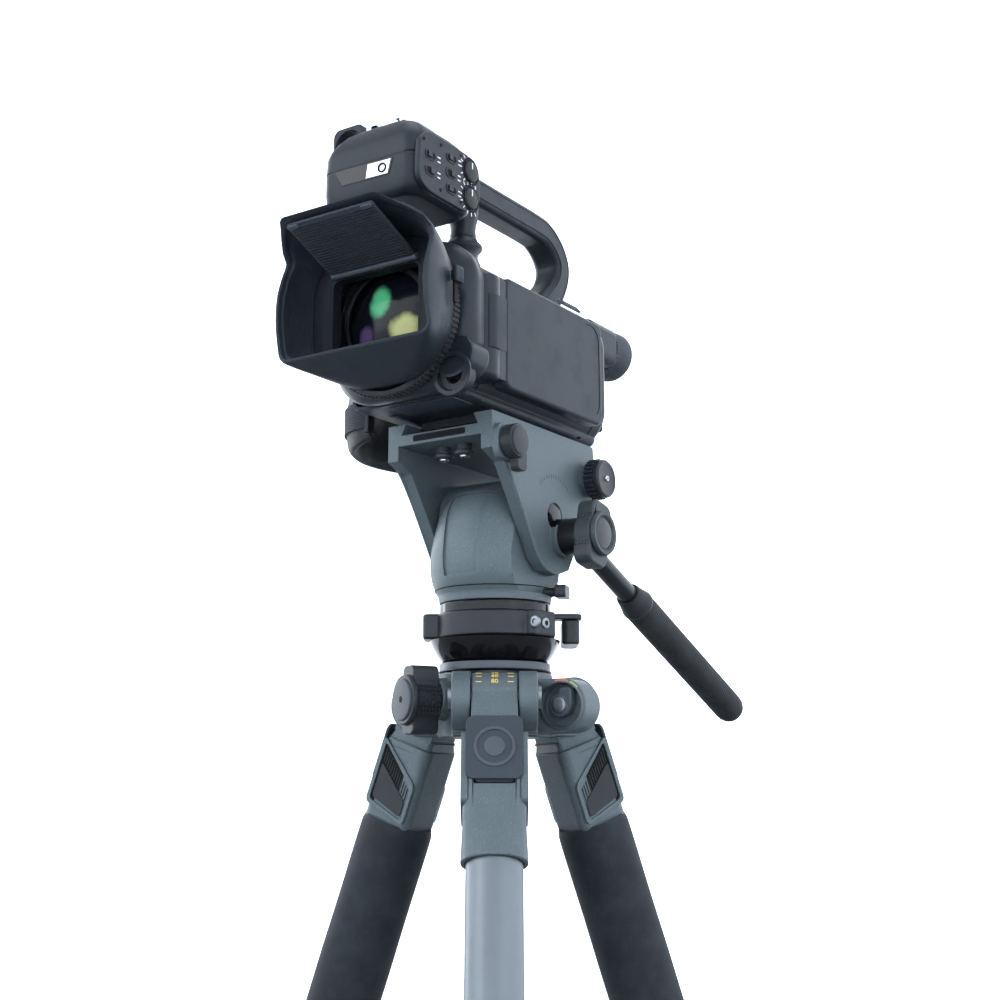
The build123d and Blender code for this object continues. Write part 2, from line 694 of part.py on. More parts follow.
with BuildPart() as pan_grip:
    with BuildSketch(bar_plane.offset(GRIP_START)):
        Circle(BAR_TUBE_R + 1.6)
    with BuildSketch(bar_plane.offset(GRIP_START + 12)):
        Circle(GRIP_R)
    loft()
    with BuildSketch(bar_plane.offset(GRIP_START + 12)):
        Circle(GRIP_R)
    extrude(amount=BAR_LENGTH - GRIP_START - 12)
    fillet(pan_grip.faces().sort_by(Axis(bar_plane.origin, bar_way))[-1].edges(), 5)
    with BuildSketch(bar_plane.offset(GRIP_START - 1)):
        Circle(BAR_TUBE_R + RUNNING)
    extrude(amount=BAR_LENGTH - GRIP_START - 7 + RUNNING, mode=Mode.SUBTRACT)
place(pan_grip.part, "pan_bar_grip")

with BuildPart() as bar_knob:
    with BuildSketch(x_plane(CHEEK_INNER + 2)):
        with Locations((BAR_Y, BAR_Z)):
            Circle(3)
    extrude(amount=EYE_OUTER - CHEEK_INNER)
    with BuildSketch(x_plane(EYE_OUTER + 0.3)):
        with Locations((BAR_Y, BAR_Z)):
            Circle(12)
            RectangleRounded(20, 36, 6, rotation=-12)
    extrude(amount=10)
    fillet(bar_knob.edges().group_by(Axis.X)[-1], 1.5)
    with BuildSketch(x_plane(EYE_OUTER + 10.3)):
        with Locations((BAR_Y, BAR_Z)):
            Circle(10)
    extrude(amount=1.5)
place(bar_knob.part, "pan_bar_clamp_knob")

# ---------------------------------------------------------------- camcorder
BODY_MID_X = (BODY_LEFT + BODY_RIGHT) / 2
BODY_WIDTH = BODY_LEFT - BODY_RIGHT
BODY_HEIGHT = BODY_TOP - PLATE_TOP
BODY_MID_Z = (BODY_TOP + PLATE_TOP) / 2

with BuildPart() as camera_body:
    with BuildSketch(Plane.XZ.offset(-BODY_FRONT)):
        with Locations((BODY_MID_X, BODY_MID_Z)):
            RectangleRounded(BODY_WIDTH, BODY_HEIGHT, 22)
        with Locations((BODY_MID_X, PLATE_TOP + 12)):
            RectangleRounded(BODY_WIDTH - 14, 24, 5)
    extrude(amount=BODY_FRONT - BODY_REAR)
    fillet(camera_body.faces().sort_by(Axis.Y)[-1].edges(), 7)
    offset(amount=-WALL, openings=camera_body.faces().sort_by(Axis.Y)[0])
    with BuildSketch(Plane.XY.offset(PLATE_TOP)):
        Circle(7)
    extrude(amount=13)
    with BuildSketch(Plane.XY.offset(PLATE_TOP - 1)):
        Circle(3.175)
    extrude(amount=11, mode=Mode.SUBTRACT)
    with BuildSketch(Plane.XY.offset(PANEL_BOTTOM + 1.5)):
        with Locations((HINGE_X, HINGE_Y)):
            Circle(HINGE_R + 0.4)
    extrude(amount=PANEL_TOP - PANEL_BOTTOM - 3, mode=Mode.SUBTRACT)
    with BuildSketch(Plane.XZ.offset(-BODY_REAR)):
        with Locations(RECORD_SPOT):
            Circle(6.8)
    extrude(amount=2, mode=Mode.SUBTRACT)
place(camera_body.part, "camera_body")

DIAL_X = 37.0
DIAL_Z = 95.0

with BuildPart() as lens_barrel:
    with BuildSketch(Plane.XY.offset(LENS_Z)):
        with BuildLine():
            Polyline((44, BODY_FRONT), (31, BODY_FRONT), (31, -90), (27.4, -90), (27.4, -99))
            Polyline((27.4, -99), (34, -99), (35, -104.5), (38, -104.5), (38, SHELL_FRONT))
            Line((38, SHELL_FRONT), (43, SHELL_FRONT))
            ThreePointArc((43, SHELL_FRONT), (SHELL_R, -84), (44, BODY_FRONT))
        make_face()
    revolve(axis=Axis((0, 0, LENS_Z), (0, 1, 0)))
    with BuildSketch(front_plane(BODY_FRONT)):
        with Locations((DIAL_X, DIAL_Z)):
            Circle(11.5)
        with BuildLine():
            Polyline((20, 90), (DIAL_X, DIAL_Z - 11.5), (47, 104), (38, 118), close=True)
        make_face()
    extrude(amount=13.5)
    with BuildSketch(front_plane(BODY_FRONT - 4)):
        with Locations((DIAL_X, DIAL_Z)):
            Circle(8 + RUNNING)
    extrude(amount=12, mode=Mode.SUBTRACT)
    with BuildSketch(front_plane(BODY_FRONT)):
        with Locations((0, LENS_Z)):
            Circle(31)
    extrude(amount=11, mode=Mode.SUBTRACT)
    with BuildSketch(front_plane(SHELL_FRONT + 0.2)):
        with Locations((0, LENS_Z)):
            Circle(44.2)
            Circle(38, mode=Mode.SUBTRACT)
    extrude(amount=6, mode=Mode.SUBTRACT)
place(lens_barrel.part, "lens_barrel")

with BuildPart() as custom_dial:
    with BuildSketch(front_plane(BODY_FRONT - 4.3)):
        with Locations((DIAL_X, DIAL_Z)):
            Circle(8)
    extrude(amount=7.6)
    with BuildSketch(front_plane(BODY_FRONT - 8)):
        with Locations((DIAL_X, DIAL_Z)):
            Circle(5)
    extrude(amount=6, mode=Mode.SUBTRACT)
place(custom_dial.part, "custom_dial")

with BuildPart() as focus_ring:
    with BuildSketch(front_plane(SHELL_FRONT - 0.2)):
        with Locations((0, LENS_Z)):
            Circle(43.4)
            Circle(38 + RUNNING, mode=Mode.SUBTRACT)
            with PolarLocations(43.6, 60):
                Circle(0.8, mode=Mode.SUBTRACT)
    extrude(amount=6.4)
place(focus_ring.part, "focus_ring")

LENS_R = 27.2
LENS_CROWN = 100.0
LENS_EDGE = -94.0
LENS_CENTRE = LENS_EDGE + math.sqrt(LENS_CROWN**2 - LENS_R**2)

with BuildPart() as front_lens:
    with BuildSketch(front_plane(-91)):
        with Locations((0, LENS_Z)):
            Circle(LENS_R)
    extrude(amount=12)
    with Locations((0, LENS_CENTRE, LENS_Z)):
        Sphere(LENS_CROWN, mode=Mode.INTERSECT)
place(front_lens.part, "front_lens")


def hood_section(y, inset):
    """Rounded section of the hood at depth y, pulled in by inset."""
    share = (HOOD_REAR - y) / (HOOD_REAR - HOOD_TIP)
    width = 90 + 12 * share - 2 * inset
    low = 89.5 + 29 * share + inset
    high = 169 + 7.5 * share - inset
    radius = 34 - 18 * share - inset / 2
    with BuildSketch(front_plane(y)) as section:
        with Locations((0, (low + high) / 2)):
            RectangleRounded(width, high - low, radius)
    return section.sketch


MASK_LOW = 107.0
MASK_HIGH = 151.0
MASK_HALF = 28.0
HOOD_WALL = 2.4

with BuildPart() as lens_hood:
    loft([hood_section(HOOD_REAR, 0), hood_section(HOOD_TIP - 2, 0)])
    inner = [hood_section(MASK_Y - 1.6, HOOD_WALL), hood_section(HOOD_TIP - 3, HOOD_WALL)]
    loft(inner, mode=Mode.SUBTRACT)
    with BuildSketch(front_plane(MASK_Y)):
        with Locations((0, (MASK_LOW + MASK_HIGH) / 2)):
            RectangleRounded(2 * MASK_HALF, MASK_HIGH - MASK_LOW, 3)
    extrude(amount=5, mode=Mode.SUBTRACT)
    with BuildSketch(front_plane(HOOD_REAR + 1)):
        with Locations((0, LENS_Z)):
            Circle(38 + RUNNING)
    extrude(amount=9, mode=Mode.SUBTRACT)
    with BuildSketch(x_plane(-60)):
        with BuildLine():
            Polyline((-170, 190), (-148, 190), (-148, 173))
            Spline((-148, 173), (-124, 158), (-130, 130), (-125, 104))
            Polyline((-125, 104), (-128, 80), (-170, 80), (-170, 190))
        make_face()
    extrude(amount=120, mode=Mode.SUBTRACT)
    with BuildSketch(x_plane(44)):
        with Locations((-103.5, 136)):
            RectangleRounded(3.4, 20, 1)
    extrude(amount=10, mode=Mode.SUBTRACT)
place(lens_hood.part, "lens_hood")

# The barrier is one flap on a bar above the mask; the side lever swings it shut.
FLAP_Y = MASK_Y - 3.4
FLAP_Z = MASK_HIGH + 2.2
FLAP_REACH = 40.0
FLAP_RISE = 24.0

rise = math.radians(FLAP_RISE)
flap_way = (0, -math.cos(rise), math.sin(rise))
flap_plane = Plane(origin=(0, FLAP_Y, FLAP_Z), x_dir=(1, 0, 0), z_dir=flap_way)

with BuildPart() as barrier_flap:
    with BuildSketch(flap_plane.offset(1.5)):
        Rectangle(2 * MASK_HALF - 1, 1.6)
    extrude(amount=FLAP_REACH - 1.5)
    with BuildSketch(x_plane(-MASK_HALF + 0.5)):
        with Locations((FLAP_Y, FLAP_Z)):
            Circle(1.8)
    extrude(amount=2 * MASK_HALF - 1)
place(barrier_flap.part, "barrier_flap")

LEVER_Y = -103.5
LEVER_HIGH = 144.0

with BuildPart() as barrier_lever:
    with Locations((46.2, LEVER_Y, LEVER_HIGH - 3)):
        Box(3, 2.6, 5)
    with Locations((48.6, LEVER_Y, LEVER_HIGH - 3)):
        Box(2, 6, 8)
    fillet(barrier_lever.faces().sort_by(Axis.X)[-1].edges(), 0.6)
place(barrier_lever.part, "barrier_lever")

with BuildPart() as lcd_hinge:
    with BuildSketch(Plane.XY.offset(PANEL_BOTTOM + 2)):
        with Locations((HINGE_X, HINGE_Y)):
            Circle(HINGE_R)
    extrude(amount=PANEL_TOP - PANEL_BOTTOM - 4)
    fillet(lcd_hinge.edges().filter_by(GeomType.CIRCLE), 3)
    with Locations((PANEL_X + PANEL_THICK / 2, (HINGE_Y + PANEL_FRONT) / 2, (PANEL_TOP + PANEL_BOTTOM) / 2)):
        Box(PANEL_THICK - 1, PANEL_FRONT - HINGE_Y, 40)
place(lcd_hinge.part, "lcd_hinge_block")

with BuildPart() as lcd_panel:
    with BuildSketch(x_plane(PANEL_X)):
        with Locations(((PANEL_FRONT + PANEL_REAR) / 2, (PANEL_TOP + PANEL_BOTTOM) / 2)):
            RectangleRounded(PANEL_REAR - PANEL_FRONT, PANEL_TOP - PANEL_BOTTOM, 5)
    extrude(amount=PANEL_THICK)
    fillet(lcd_panel.faces().sort_by(Axis.X)[-1].edges(), 2)
    with BuildSketch(x_plane(PANEL_X)):
        with Locations(((PANEL_FRONT + PANEL_REAR) / 2, (PANEL_TOP + PANEL_BOTTOM) / 2)):
            RectangleRounded(68, 40, 1)
    extrude(amount=0.8, mode=Mode.SUBTRACT)
place(lcd_panel.part, "lcd_panel")

EVF_FRONT = BODY_REAR + 1.0
EVF_BACK = 94.0
EYECUP_BACK = 112.0

with BuildPart() as viewfinder:
    with BuildSketch(Plane.XZ.offset(-EVF_FRONT)):
        with Locations((EVF_X, EVF_Z)):
            RectangleRounded(28, 24, 6)
    extrude(amount=EVF_FRONT - EVF_BACK)
    with BuildSketch(Plane.XZ.offset(-EVF_BACK)):
        with Locations((EVF_X, EVF_Z)):
            Circle(11)
    extrude(amount=-6)
    with BuildSketch(Plane.XZ.offset(-EVF_BACK - 7)):
        with Locations((EVF_X, EVF_Z)):
            Circle(8.5)
    extrude(amount=13, mode=Mode.SUBTRACT)
place(viewfinder.part, "viewfinder")

with BuildPart() as eyecup:
    with BuildSketch(Plane.XY.offset(EVF_Z)):
        with BuildLine():
            Polyline(
                (EVF_X + 11.05, EVF_BACK + 0.2),
                (EVF_X + 13.5, EVF_BACK + 0.2),
                (EVF_X + 15, EVF_BACK + 8),
                (EVF_X + 15.5, EYECUP_BACK),
                (EVF_X + 13.5, EYECUP_BACK),
                (EVF_X + 11.05, EVF_BACK + 8),
                close=True,
            )
        make_face()
    revolve(axis=Axis((EVF_X, 0, EVF_Z), (0, 1, 0)))
place(eyecup.part, "eyecup")

BATTERY_X = -14.0
BATTERY_LOW = 97.0
BATTERY_HIGH = 139.0

with BuildPart() as battery:
    with BuildSketch(Plane.XZ.offset(-BODY_REAR - 0.2)):
        with Locations((BATTERY_X, (BATTERY_LOW + BATTERY_HIGH) / 2)):
            RectangleRounded(34, BATTERY_HIGH - BATTERY_LOW, 3)
    extrude(amount=-20)
    fillet(battery.faces().sort_by(Axis.Y)[-1].edges(), 2)
place(battery.part, "battery_pack")

with BuildPart() as record_button:
    with BuildSketch(Plane.XZ.offset(-BODY_REAR + 0.4)):
        with Locations(RECORD_SPOT):
            Circle(6.4)
    extrude(amount=-2.8)
    fillet(record_button.faces().sort_by(Axis.Y)[-1].edges(), 0.8)
place(record_button.part, "record_button")

with BuildPart() as hand_strap:
    with BuildSketch(Plane.XY.offset(75)):
        with BuildLine():
            ThreePointArc((BODY_RIGHT - 0.4, -58), (-73, -8), (BODY_RIGHT - 0.4, 44))
            Line((BODY_RIGHT - 0.4, 44), (BODY_RIGHT - 0.4, 35))
            ThreePointArc((BODY_RIGHT - 0.4, 35), (-65, -8), (BODY_RIGHT - 0.4, -49))
            Line((BODY_RIGHT - 0.4, -49), (BODY_RIGHT - 0.4, -58))
        make_face()
    extrude(amount=38)
place(hand_strap.part, "hand_strap")

# ---------------------------------------------------------------- handle unit
HANDLE_OUTLINE = (
    (BLOCK_REAR, HANDLE_BOTTOM),
    (BLOCK_REAR, HANDLE_TOP),
    (44, HANDLE_TOP),
    (64, 217),
    (70, 204),
    (66, 188),
    (53, BODY_TOP),
    (26, BODY_TOP),
    (42, 184),
    (54, 196),
    (55, 206),
    (44, HANDLE_BOTTOM),
)

with BuildPart() as carry_handle:
    with BuildSketch(x_plane(-HANDLE_HALF)) as outline:
        with BuildLine():
            Polyline(*HANDLE_OUTLINE, close=True)
        make_face()
        bends = outline.vertices().filter_by_position(Axis.X, -10, 80)
        fillet(bends.filter_by_position(Axis.Y, BODY_TOP + 1, HANDLE_TOP + 1), 6)
    extrude(amount=2 * HANDLE_HALF)
    fillet(carry_handle.edges().filter_by(Axis.Y).group_by(Axis.Z)[-1], 3)
    with BuildSketch(Plane.XY.offset(BODY_TOP)):
        with Locations((0, SCREW_Y)):
            RectangleRounded(22, 26, 4)
    extrude(amount=6.2)
    with BuildSketch(Plane.XY.offset(BODY_TOP)):
        with Locations((0, SCREW_Y)):
            Circle(3.5)
    extrude(amount=HANDLE_BOTTOM - BODY_TOP)
    with BuildSketch(Plane.XY.offset(SCREW_TOP + 0.3)):
        with Locations((0, SCREW_Y)):
            Circle(7)
    with BuildSketch(Plane.XY.offset(HANDLE_BOTTOM)):
        with Locations((0, SCREW_Y)):
            Circle(8.8)
    loft()
place(carry_handle.part, "carry_handle")

with BuildPart() as handle_screw:
    with BuildSketch(Plane.XZ.offset(-SCREW_Y)):
        with BuildLine():
            Polyline((3.55, SCREW_BOTTOM), (8.5, SCREW_BOTTOM), (8.5, 180), (10.6, 184), (10.6, 187))
            Polyline((10.6, 187), (8, SCREW_TOP), (3.55, SCREW_TOP), (3.55, SCREW_BOTTOM))
        make_face()
    revolve(axis=Axis((0, SCREW_Y, 0), (0, 0, 1)))
place(handle_screw.part, "handle_clamp_screw")

MIC_X = -31.0
MIC_Z = 231.0
MIC_R = 9.75
PANEL_PLATE_X = 33.6
DIAL_SPOTS = ((-72.5, 210.0), (-72.5, 195.0))

with BuildPart() as front_block:
    with BuildSketch(Plane.XY.offset(BLOCK_BOTTOM)):
        with Locations((0, (BLOCK_FRONT + BLOCK_REAR) / 2)):
            RectangleRounded(2 * BLOCK_HALF, BLOCK_REAR - BLOCK_FRONT, 8)
    extrude(amount=BLOCK_TOP - BLOCK_BOTTOM)
    chamfer(front_block.edges().group_by(Axis.Z)[0], 3)
    with BuildSketch(Plane.XY.offset(BLOCK_TOP)):
        with Locations((0, (BLOCK_FRONT + BLOCK_REAR) / 2)):
            RectangleRounded(2 * BLOCK_HALF - 1, BLOCK_REAR - BLOCK_FRONT - 1, 8)
    with BuildSketch(Plane.XY.offset(231)):
        with Locations((2, (BLOCK_FRONT + BLOCK_REAR) / 2)):
            RectangleRounded(32, 44, 8)
    loft()
    with BuildSketch(Plane.XY.offset(231)):
        with Locations((2, -92)):
            RectangleRounded(25, 26, 1)
    extrude(amount=5)
    with BuildSketch(Plane.XY.offset(232)):
        with Locations((2, -94)):
            Rectangle(18.6, 26)
    extrude(amount=2.1, mode=Mode.SUBTRACT)
    with BuildSketch(Plane.XY.offset(233)):
        with Locations((2, -94)):
            Rectangle(12.5, 26)
    extrude(amount=4, mode=Mode.SUBTRACT)
    with BuildSketch(x_plane(BLOCK_HALF - 0.5)):
        with Locations(((BLOCK_FRONT + BLOCK_REAR) / 2 + 1, 203)):
            RectangleRounded(50, 31, 8)
    extrude(amount=PANEL_PLATE_X - BLOCK_HALF + 0.5)
    with BuildSketch(front_plane(-87)):
        with Locations((MIC_X, MIC_Z)):
            RectangleRounded(25, 25, 5)
        with Locations((MIC_X + 5, MIC_Z - 12)):
            Rectangle(20, 12)
    extrude(amount=20)
    with BuildSketch(front_plane(-80)):
        with Locations((MIC_X, MIC_Z)):
            Circle(MIC_R)
    extrude(amount=40, mode=Mode.SUBTRACT)
place(front_block.part, "handle_front_block")

for name, spot in zip(("upper", "lower"), DIAL_SPOTS):
    with BuildPart() as gain_dial:
        with BuildSketch(x_plane(PANEL_PLATE_X + 0.2)):
            with Locations(spot):
                Circle(6.4)
        extrude(amount=3.2)
        fillet(gain_dial.edges().group_by(Axis.X)[-1], 0.7)
    place(gain_dial.part, f"gain_dial_{name}")
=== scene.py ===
import json
import math

import bmesh
import bpy
from mathutils import Matrix, Vector

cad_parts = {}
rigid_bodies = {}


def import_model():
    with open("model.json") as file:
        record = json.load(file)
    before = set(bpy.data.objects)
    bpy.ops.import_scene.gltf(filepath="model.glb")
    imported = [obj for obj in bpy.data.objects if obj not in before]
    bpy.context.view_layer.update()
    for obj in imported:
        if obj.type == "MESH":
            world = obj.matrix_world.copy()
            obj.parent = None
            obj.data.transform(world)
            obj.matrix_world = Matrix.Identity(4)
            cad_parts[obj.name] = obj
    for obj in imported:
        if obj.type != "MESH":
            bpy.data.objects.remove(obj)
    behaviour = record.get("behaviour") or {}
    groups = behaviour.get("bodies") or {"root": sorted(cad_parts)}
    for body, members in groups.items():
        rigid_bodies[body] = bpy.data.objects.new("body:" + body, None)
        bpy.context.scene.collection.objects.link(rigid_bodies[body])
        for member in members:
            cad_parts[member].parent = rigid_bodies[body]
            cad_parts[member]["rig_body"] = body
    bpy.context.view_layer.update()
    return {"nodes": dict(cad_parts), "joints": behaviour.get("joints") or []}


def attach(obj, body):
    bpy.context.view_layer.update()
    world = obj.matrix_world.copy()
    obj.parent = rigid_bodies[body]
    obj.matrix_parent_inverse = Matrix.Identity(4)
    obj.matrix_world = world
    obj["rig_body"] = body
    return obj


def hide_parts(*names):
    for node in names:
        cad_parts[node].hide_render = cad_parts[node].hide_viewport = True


bl_info = {
    "name": "Camcorder and tripod dresser",
    "version": (1, 0, 0),
    "blender": (4, 5, 0),
    "location": "View3D > Sidebar > Tripod",
    "description": "Dresses a camcorder on a fluid-head tripod with moulded, cast and soft finishes",
    "category": "Object",
}

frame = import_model()
NODES = frame["nodes"]
JOINTS = {joint["name"]: joint for joint in frame["joints"]}

MM = 0.001
TAU = 2 * math.pi
ORIGIN = Vector(JOINTS["pan_turn"]["pos_m"])
HOME = Matrix.Translation(ORIGIN)
LEG_SPREAD = 20.0
LENS_Z = 129.0


# ------------------------------------------------------------------ sizes and colours
class StandColours(bpy.types.PropertyGroup):
    powder: bpy.props.FloatVectorProperty(
        name="Powder coat", description="Grey-green coat of the castings", subtype="COLOR",
        size=3, min=0, max=1, default=(0.082, 0.104, 0.114))
    shell: bpy.props.FloatVectorProperty(
        name="Camcorder shell", description="Charcoal of the moulded case", subtype="COLOR",
        size=3, min=0, max=1, default=(0.0135, 0.0180, 0.0240))
    hood: bpy.props.FloatVectorProperty(
        name="Hood", description="Matt charcoal of the lens hood", subtype="COLOR",
        size=3, min=0, max=1, default=(0.0165, 0.0215, 0.0285))
    foam: bpy.props.FloatVectorProperty(
        name="Foam", description="Closed-cell foam of the leg sleeves", subtype="COLOR",
        size=3, min=0, max=1, default=(0.0125, 0.0160, 0.0205))
    tube: bpy.props.FloatVectorProperty(
        name="Leg tube", description="Anodised leg tube", subtype="COLOR",
        size=3, min=0, max=1, default=(0.140, 0.155, 0.168))
    scale_ink: bpy.props.FloatVectorProperty(
        name="Scale ink", description="Printed numbers of the leg angle", subtype="COLOR",
        size=3, min=0, max=1, default=(0.80, 0.52, 0.10))


class StandSizes(bpy.types.PropertyGroup):
    edge: bpy.props.FloatProperty(
        name="Edge rounding", description="Width of the rounding on cast and moulded edges",
        unit="LENGTH", min=0.0001, max=0.003, precision=5, default=0.0007)
    flap_ribs: bpy.props.IntProperty(
        name="Flap ribs", description="Ribs across the lens barrier", min=4, max=40, default=20)
    hood_ridges: bpy.props.IntProperty(
        name="Hood ridges", description="Light-trap ridges inside the hood", min=4, max=40, default=21)
    ring_teeth: bpy.props.IntProperty(
        name="Focus ring teeth", description="Grip teeth round the focus ring", min=24, max=160, default=96)
    grip_rings: bpy.props.IntProperty(
        name="Grip rings", description="Rings moulded round the pan bar's grip", min=10, max=90, default=62)


def colours():
    """The scene's colours, as set in the panel."""
    return bpy.context.scene.stand_colours


def sizes():
    """The scene's sizes, as set in the panel."""
    return bpy.context.scene.stand_sizes


# ------------------------------------------------------------------ shader maths
class Value:
    """A shader socket that adds Math nodes when it is used in an expression."""

    def __init__(self, finish, socket):
        self.finish = finish
        self.socket = socket

    def math(self, operation, first, second):
        node = self.finish.node("ShaderNodeMath", {"operation": operation}, {0: first, 1: second})
        return Value(self.finish, node.outputs[0])

    def __add__(self, other):
        return self.math("ADD", self, other)

    def __radd__(self, other):
        return self.math("ADD", other, self)

    def __sub__(self, other):
        return self.math("SUBTRACT", self, other)

    def __rsub__(self, other):
        return self.math("SUBTRACT", other, self)

    def __mul__(self, other):
        return self.math("MULTIPLY", self, other)

    def __rmul__(self, other):
        return self.math("MULTIPLY", other, self)

    def max(self, other):
        return self.math("MAXIMUM", self, other)

    def wave(self, period):
        """A sine of this value, from 0 to 1."""
        turn = self.math("SINE", self * (TAU / period), 0.0)
        return turn * 0.5 + 0.5


class Finish:
    """A material, its shader and the nodes that feed it."""

    def __init__(self, name):
        self.material = bpy.data.materials.new(name)
        self.material.use_nodes = True
        self.tree = self.material.node_tree
        self.tree.nodes.clear()
        self.shader = self.node("ShaderNodeBsdfPrincipled")
        self.shader.inputs["Specular IOR Level"].default_value = 0.28
        output = self.node("ShaderNodeOutputMaterial")
        self.tree.links.new(self.shader.outputs[0], output.inputs[0])
        self.place = self.node("ShaderNodeTexCoord").outputs["Object"]

    def node(self, kind, settings=None, sockets=None):
        made = self.tree.nodes.new(kind)
        for key, value in (settings or {}).items():
            setattr(made, key, value)
        for key, value in (sockets or {}).items():
            self.feed(made.inputs[key], value)
        return made

    def feed(self, socket, value):
        if isinstance(value, Value):
            value = value.socket
        if isinstance(value, bpy.types.NodeSocket):
            self.tree.links.new(value, socket)
        else:
            socket.default_value = value

    def set(self, **sockets):
        for key, value in sockets.items():
            self.feed(self.shader.inputs[key.replace("_", " ")], value)
        return self

    def noise(self, scale, detail=2.0, roughness=0.5, where=None):
        made = self.node("ShaderNodeTexNoise", None, {
            "Vector": where or self.place, "Scale": scale, "Detail": detail, "Roughness": roughness})
        return Value(self, made.outputs["Fac"])

    def cells(self, scale, feature="F1"):
        made = self.node("ShaderNodeTexVoronoi", {"feature": feature}, {
            "Vector": self.place, "Scale": scale})
        return Value(self, made.outputs["Distance"])

    def stretched(self, scale):
        """Object coordinates stretched by a scale for each axis."""
        return self.node("ShaderNodeMapping", None, {
            "Vector": self.place, "Scale": scale}).outputs[0]

    def axis(self, index, source=None):
        split = self.node("ShaderNodeSeparateXYZ", None, {0: source or self.place})
        return Value(self, split.outputs[index])

    def mix(self, factor, first, second):
        made = self.node("ShaderNodeMix", {"data_type": "RGBA"}, {0: factor, 6: first, 7: second})
        return made.outputs[2]

    def band(self, value, low, high):
        """Rises from 0 to 1 as the value goes from low to high."""
        made = self.node("ShaderNodeMapRange", {"interpolation_type": "SMOOTHSTEP"}, {
            "Value": value, "From Min": low, "From Max": high})
        return Value(self, made.outputs[0])

    def bump(self, height, strength, distance):
        made = self.node("ShaderNodeBump", None, {
            "Height": height, "Strength": strength, "Distance": distance})
        self.feed(self.shader.inputs["Normal"], made.outputs[0])
        return self


def tone(colour, gain=1.0, shift=0.0):
    """The colour scaled and shifted, with full alpha."""
    return tuple(min(1.0, channel * gain + shift) for channel in tuple(colour)[:3]) + (1.0,)


def moulded(name, colour, rough, grain=2600.0, depth=0.00003, dust=0.35, coat=0.0):
    """Moulded plastic: fine grain, handling marks in the gloss and a little dust."""
    made = Finish(name)
    broad = made.noise(38.0, 3.0, 0.6)
    smudge = made.band(made.noise(85.0, 4.0, 0.65), 0.45, 0.72)
    speck = made.band(made.noise(1500.0, 1.0), 0.70, 0.78)
    base = made.mix(broad, tone(colour, 0.86), tone(colour, 1.16))
    dusty = made.mix(speck * dust * smudge, base, tone(colour, 1.6, 0.03))
    grit = made.noise(grain, 2.0, 0.6) * 0.7 + made.cells(grain * 0.5) * 0.3
    made.set(Base_Color=dusty, Roughness=rough - 0.05 + smudge * 0.10 + broad * 0.04)
    made.set(Specular_IOR_Level=0.18)
    if coat:
        made.set(Coat_Weight=coat, Coat_Roughness=0.12)
    return made.bump(grit, 0.55, depth)


def powder_coat(name, colour):
    """Powder coat with metal flake, orange peel and rubbed high spots."""
    made = Finish(name)
    flake = made.band(made.noise(2100.0, 1.0, 0.4), 0.60, 0.74)
    cloud = made.noise(30.0, 3.0, 0.55)
    rub = made.band(made.noise(120.0, 5.0, 0.7), 0.58, 0.80)
    base = made.mix(cloud, tone(colour, 0.9), tone(colour, 1.1))
    flaked = made.mix(flake * 0.55, base, tone(colour, 2.3))
    rubbed = made.mix(rub * 0.22, flaked, tone(colour, 1.45))
    made.set(Base_Color=rubbed, Metallic=flake * 0.35 + 0.25, Roughness=0.46 - flake * 0.12 + cloud * 0.10)
    peel = made.noise(900.0, 2.0, 0.5) * 0.6 + made.noise(3000.0, 1.0) * 0.4
    return made.bump(peel, 0.6, 0.00006)


def satin_metal(name, colour, rough, metallic=1.0, brush=(60.0, 60.0, 5200.0), depth=0.00001):
    """Turned or brushed metal whose fine lines follow one direction."""
    made = Finish(name)
    lines = made.noise(1.0, 3.0, 0.6, made.stretched(brush))
    cloud = made.noise(55.0, 3.0, 0.6)
    scratch = made.band(made.noise(1.0, 2.0, 0.5, made.stretched((900.0, 40.0, 700.0))), 0.72, 0.78)
    base = made.mix(cloud, tone(colour, 0.88), tone(colour, 1.12))
    worn = made.mix(scratch * 0.35, base, tone(colour, 1.5, 0.02))
    made.set(Base_Color=worn, Metallic=metallic, Roughness=rough + lines * 0.10 + cloud * 0.06)
    return made.bump(lines, 0.35, depth)


def rubbery(name, colour, rough=0.72, pores=1400.0, depth=0.00008):
    """Rubber or foam: pores, a chalky bloom and softened gloss."""
    made = Finish(name)
    bloom = made.noise(60.0, 4.0, 0.6)
    pore = made.cells(pores)
    base = made.mix(made.band(bloom, 0.35, 0.75), tone(colour, 0.85), tone(colour, 1.25, 0.004))
    made.set(Base_Color=base, Roughness=rough + bloom * 0.12)
    return made.bump(pore * 0.7 + made.noise(pores * 0.6, 2.0) * 0.3, 0.7, depth)


def webbing(name, colour):
    """Woven tape: a twill of ribs in the piece's own height and length."""
    made = Finish(name)
    up = made.axis(2)
    along = made.axis(1) + made.axis(0) * 0.6
    twill = (up + along).wave(0.0016) * 0.6 + up.wave(0.0011) * 0.4
    fuzz = made.noise(2600.0, 2.0, 0.7)
    base = made.mix(twill, tone(colour, 0.55), tone(colour, 1.5))
    made.set(Base_Color=base, Roughness=0.78 + fuzz * 0.15, Sheen_Weight=0.08)
    return made.bump(twill * 0.8 + fuzz * 0.2, 0.9, 0.0004)


def leather(name, colour):
    """Grained synthetic leather with creases and handled, shinier patches."""
    made = Finish(name)
    grain = made.cells(1100.0, "DISTANCE_TO_EDGE")
    crease = made.noise(160.0, 4.0, 0.6)
    shine = made.band(made.noise(45.0, 3.0), 0.4, 0.7)
    base = made.mix(crease, tone(colour, 0.8), tone(colour, 1.3))
    made.set(Base_Color=base, Roughness=0.5 - shine * 0.14 + crease * 0.08)
    return made.bump(grain * 3.0 + crease * 0.5, 0.6, 0.00015)


